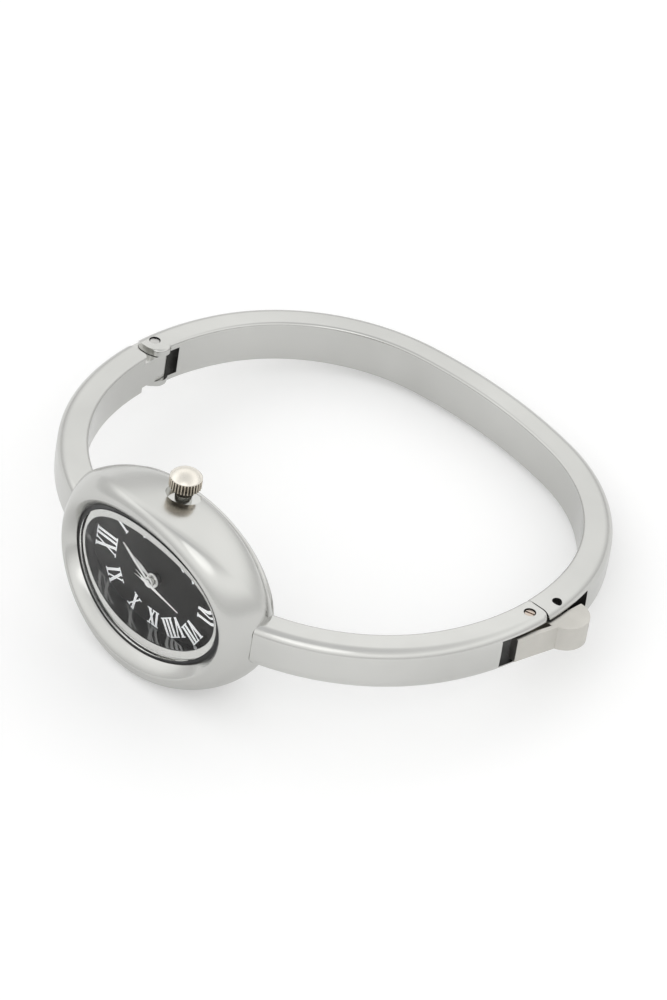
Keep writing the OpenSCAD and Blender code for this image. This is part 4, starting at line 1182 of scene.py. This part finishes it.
class BANGLE_OT_stage(bpy.types.Operator):
    """White floor, soft tent light and the camera"""

    bl_idname = "bangle.stage"
    bl_label = "Stage"

    def execute(self, context):
        scene, s = context.scene, sizes("stage")
        scene.view_settings.view_transform = "Standard"
        self.floor()
        self.tent(scene, s.sky)
        self.lamp("key", (0.25, -0.35, 0.55), 0.22, 0.4)
        self.lamp("fill", (-0.45, -0.2, 0.4), 0.07, 0.5)
        self.camera(scene, s)
        return {"FINISHED"}

    def seen_white(self, tree):
        """1 on camera and transmission rays, and less on glossy rays."""
        rays, in_mirrors = add_node(tree, "LightPath").outputs, 0.45
        total = rays["Is Camera Ray"]
        for name, share in (("Is Glossy Ray", in_mirrors), ("Is Transmission Ray", 1.0)):
            part = add_node(tree, "Math", {0: rays[name], 1: share}, operation="MULTIPLY").outputs[0]
            total = add_node(tree, "Math", {0: total, 1: part}, operation="MAXIMUM").outputs[0]
        return total

    def picked(self, tree, share, first, last, out):
        """Leads the tree's output to a mix of two shaders."""
        mix = add_node(tree, "MixShader", {0: share, 1: first.outputs[0], 2: last.outputs[0]})
        feed(tree, tree.nodes[out], {"Surface": mix.outputs[0]})

    def floor(self):
        bm = bmesh.new()
        bmesh.ops.create_grid(bm, x_segments=2, y_segments=2, size=1.5)
        bmesh.ops.translate(bm, vec=(0, 0, CAD_BOX[0].z), verts=bm.verts)
        made = loose_object(bm, "floor")
        look = bpy.data.materials.new("white_floor")
        look.use_nodes = True
        tree = look.node_tree
        matt = feed(tree, tree.nodes["Principled BSDF"], {
            "Base Color": (0.86, 0.86, 0.86, 1), "Roughness": 0.9, "Specular IOR Level": 0.1})
        glow = add_node(tree, "Emission", {"Strength": 0.2})
        lit = add_node(tree, "AddShader", {0: matt.outputs[0], 1: glow.outputs[0]})
        self.picked(tree, self.seen_white(tree), matt, lit, "Material Output")
        made.data.materials.append(look)

    def tent(self, scene, strength):
        """A white tent, lighter overhead, with a few soft grey seams for the metal to show."""
        scene.world = bpy.data.worlds.new("tent")
        scene.world.use_nodes = True
        tree = scene.world.node_tree
        place = add_node(tree, "TexCoord").outputs["Generated"]
        height = add_node(tree, "SeparateXYZ", {0: place}).outputs["Z"]
        ramp = add_node(tree, "ValToRGB", {0: height})
        bands = ramp.color_ramp.elements
        bands[0].position, bands[0].color = 0.0, (0.78, 0.78, 0.78, 1)
        bands[1].position, bands[1].color = 1.0, (0.74, 0.745, 0.75, 1)
        for at, level in ((0.12, 0.74), (0.25, 0.82), (0.38, 1.02), (0.5, 1.15), (0.66, 1.15), (0.82, 0.9)):
            bands.new(at).color = (level, level, level * 0.995, 1)
        back = feed(tree, tree.nodes["Background"], {"Color": ramp.outputs[0], "Strength": strength})
        seen = add_node(tree, "Background", {"Color": (1, 1, 1, 1)})
        self.picked(tree, add_node(tree, "LightPath").outputs["Is Camera Ray"], back, seen, "World Output")

    def lamp(self, name, where, power, size):
        """A round lamp that looks at the watch."""
        data = bpy.data.lights.new(name, "AREA")
        data.shape = "DISK"
        data.energy, data.size = power, size
        made = in_scene(name, data)
        made.location = where
        made.rotation_euler = (-Vector(where)).to_track_quat("-Z", "Y").to_euler()

    def camera(self, scene, s):
        data = bpy.data.cameras.new("camera")
        scene.camera = in_scene("camera", data)
        data.sensor_width, data.lens = 36, s.lens
        data.shift_x, data.shift_y = s.shift_x, s.shift_y
        data.clip_start, data.clip_end = 0.01, 10
        az, el, roll = s.azimuth, s.elevation, s.roll
        back = Vector((math.sin(az) * math.cos(el), -math.cos(az) * math.cos(el), math.sin(el)))
        level = Vector((math.cos(az), math.sin(az), 0))
        rise = back.cross(level)
        right = level * math.cos(roll) + rise * math.sin(roll)
        up = rise * math.cos(roll) - level * math.sin(roll)
        turned = Matrix.Rotation(-LEAN, 4, "X") @ Matrix((right, up, back)).transposed().to_4x4()
        scene.camera.matrix_world = turned
        scene.camera.location = turned.to_3x3() @ Vector((0, 0, s.distance))


PIECES = (BANGLE_OT_case_shell, BANGLE_OT_case_back, BANGLE_OT_glass, BANGLE_OT_dial_print, BANGLE_OT_hands,
          BANGLE_OT_crown, BANGLE_OT_arms, BANGLE_OT_back_arc, BANGLE_OT_clasp, BANGLE_OT_movement,
          BANGLE_OT_stage)


class BANGLE_PT_panel(bpy.types.Panel):
    """Sizes, colours and pieces of the bangle watch"""

    bl_idname = "BANGLE_PT_panel"
    bl_label = "Bangle Watch"
    bl_space_type = "VIEW_3D"
    bl_region_type = "UI"
    bl_category = "Bangle Watch"

    def draw(self, context):
        for group, kind in GROUPS.items():
            box = self.layout.box()
            for name in kind.__annotations__:
                box.prop(getattr(context.scene, "bangle_" + group), name)
        for operator in PIECES:
            self.layout.operator(operator.bl_idname)


def register():
    for group, kind in GROUPS.items():
        bpy.utils.register_class(kind)
        setattr(bpy.types.Scene, "bangle_" + group, PointerProperty(type=kind))
    for kind in (*PIECES, BANGLE_PT_panel):
        bpy.utils.register_class(kind)


def unregister():
    for kind in reversed((*PIECES, BANGLE_PT_panel)):
        bpy.utils.unregister_class(kind)
    for group, kind in GROUPS.items():
        delattr(bpy.types.Scene, "bangle_" + group)
        bpy.utils.unregister_class(kind)


def main():
    register()
    for operator in PIECES:
        group, name = operator.bl_idname.split(".")
        getattr(getattr(bpy.ops, group), name)()


if __name__ == "__main__":
    main()
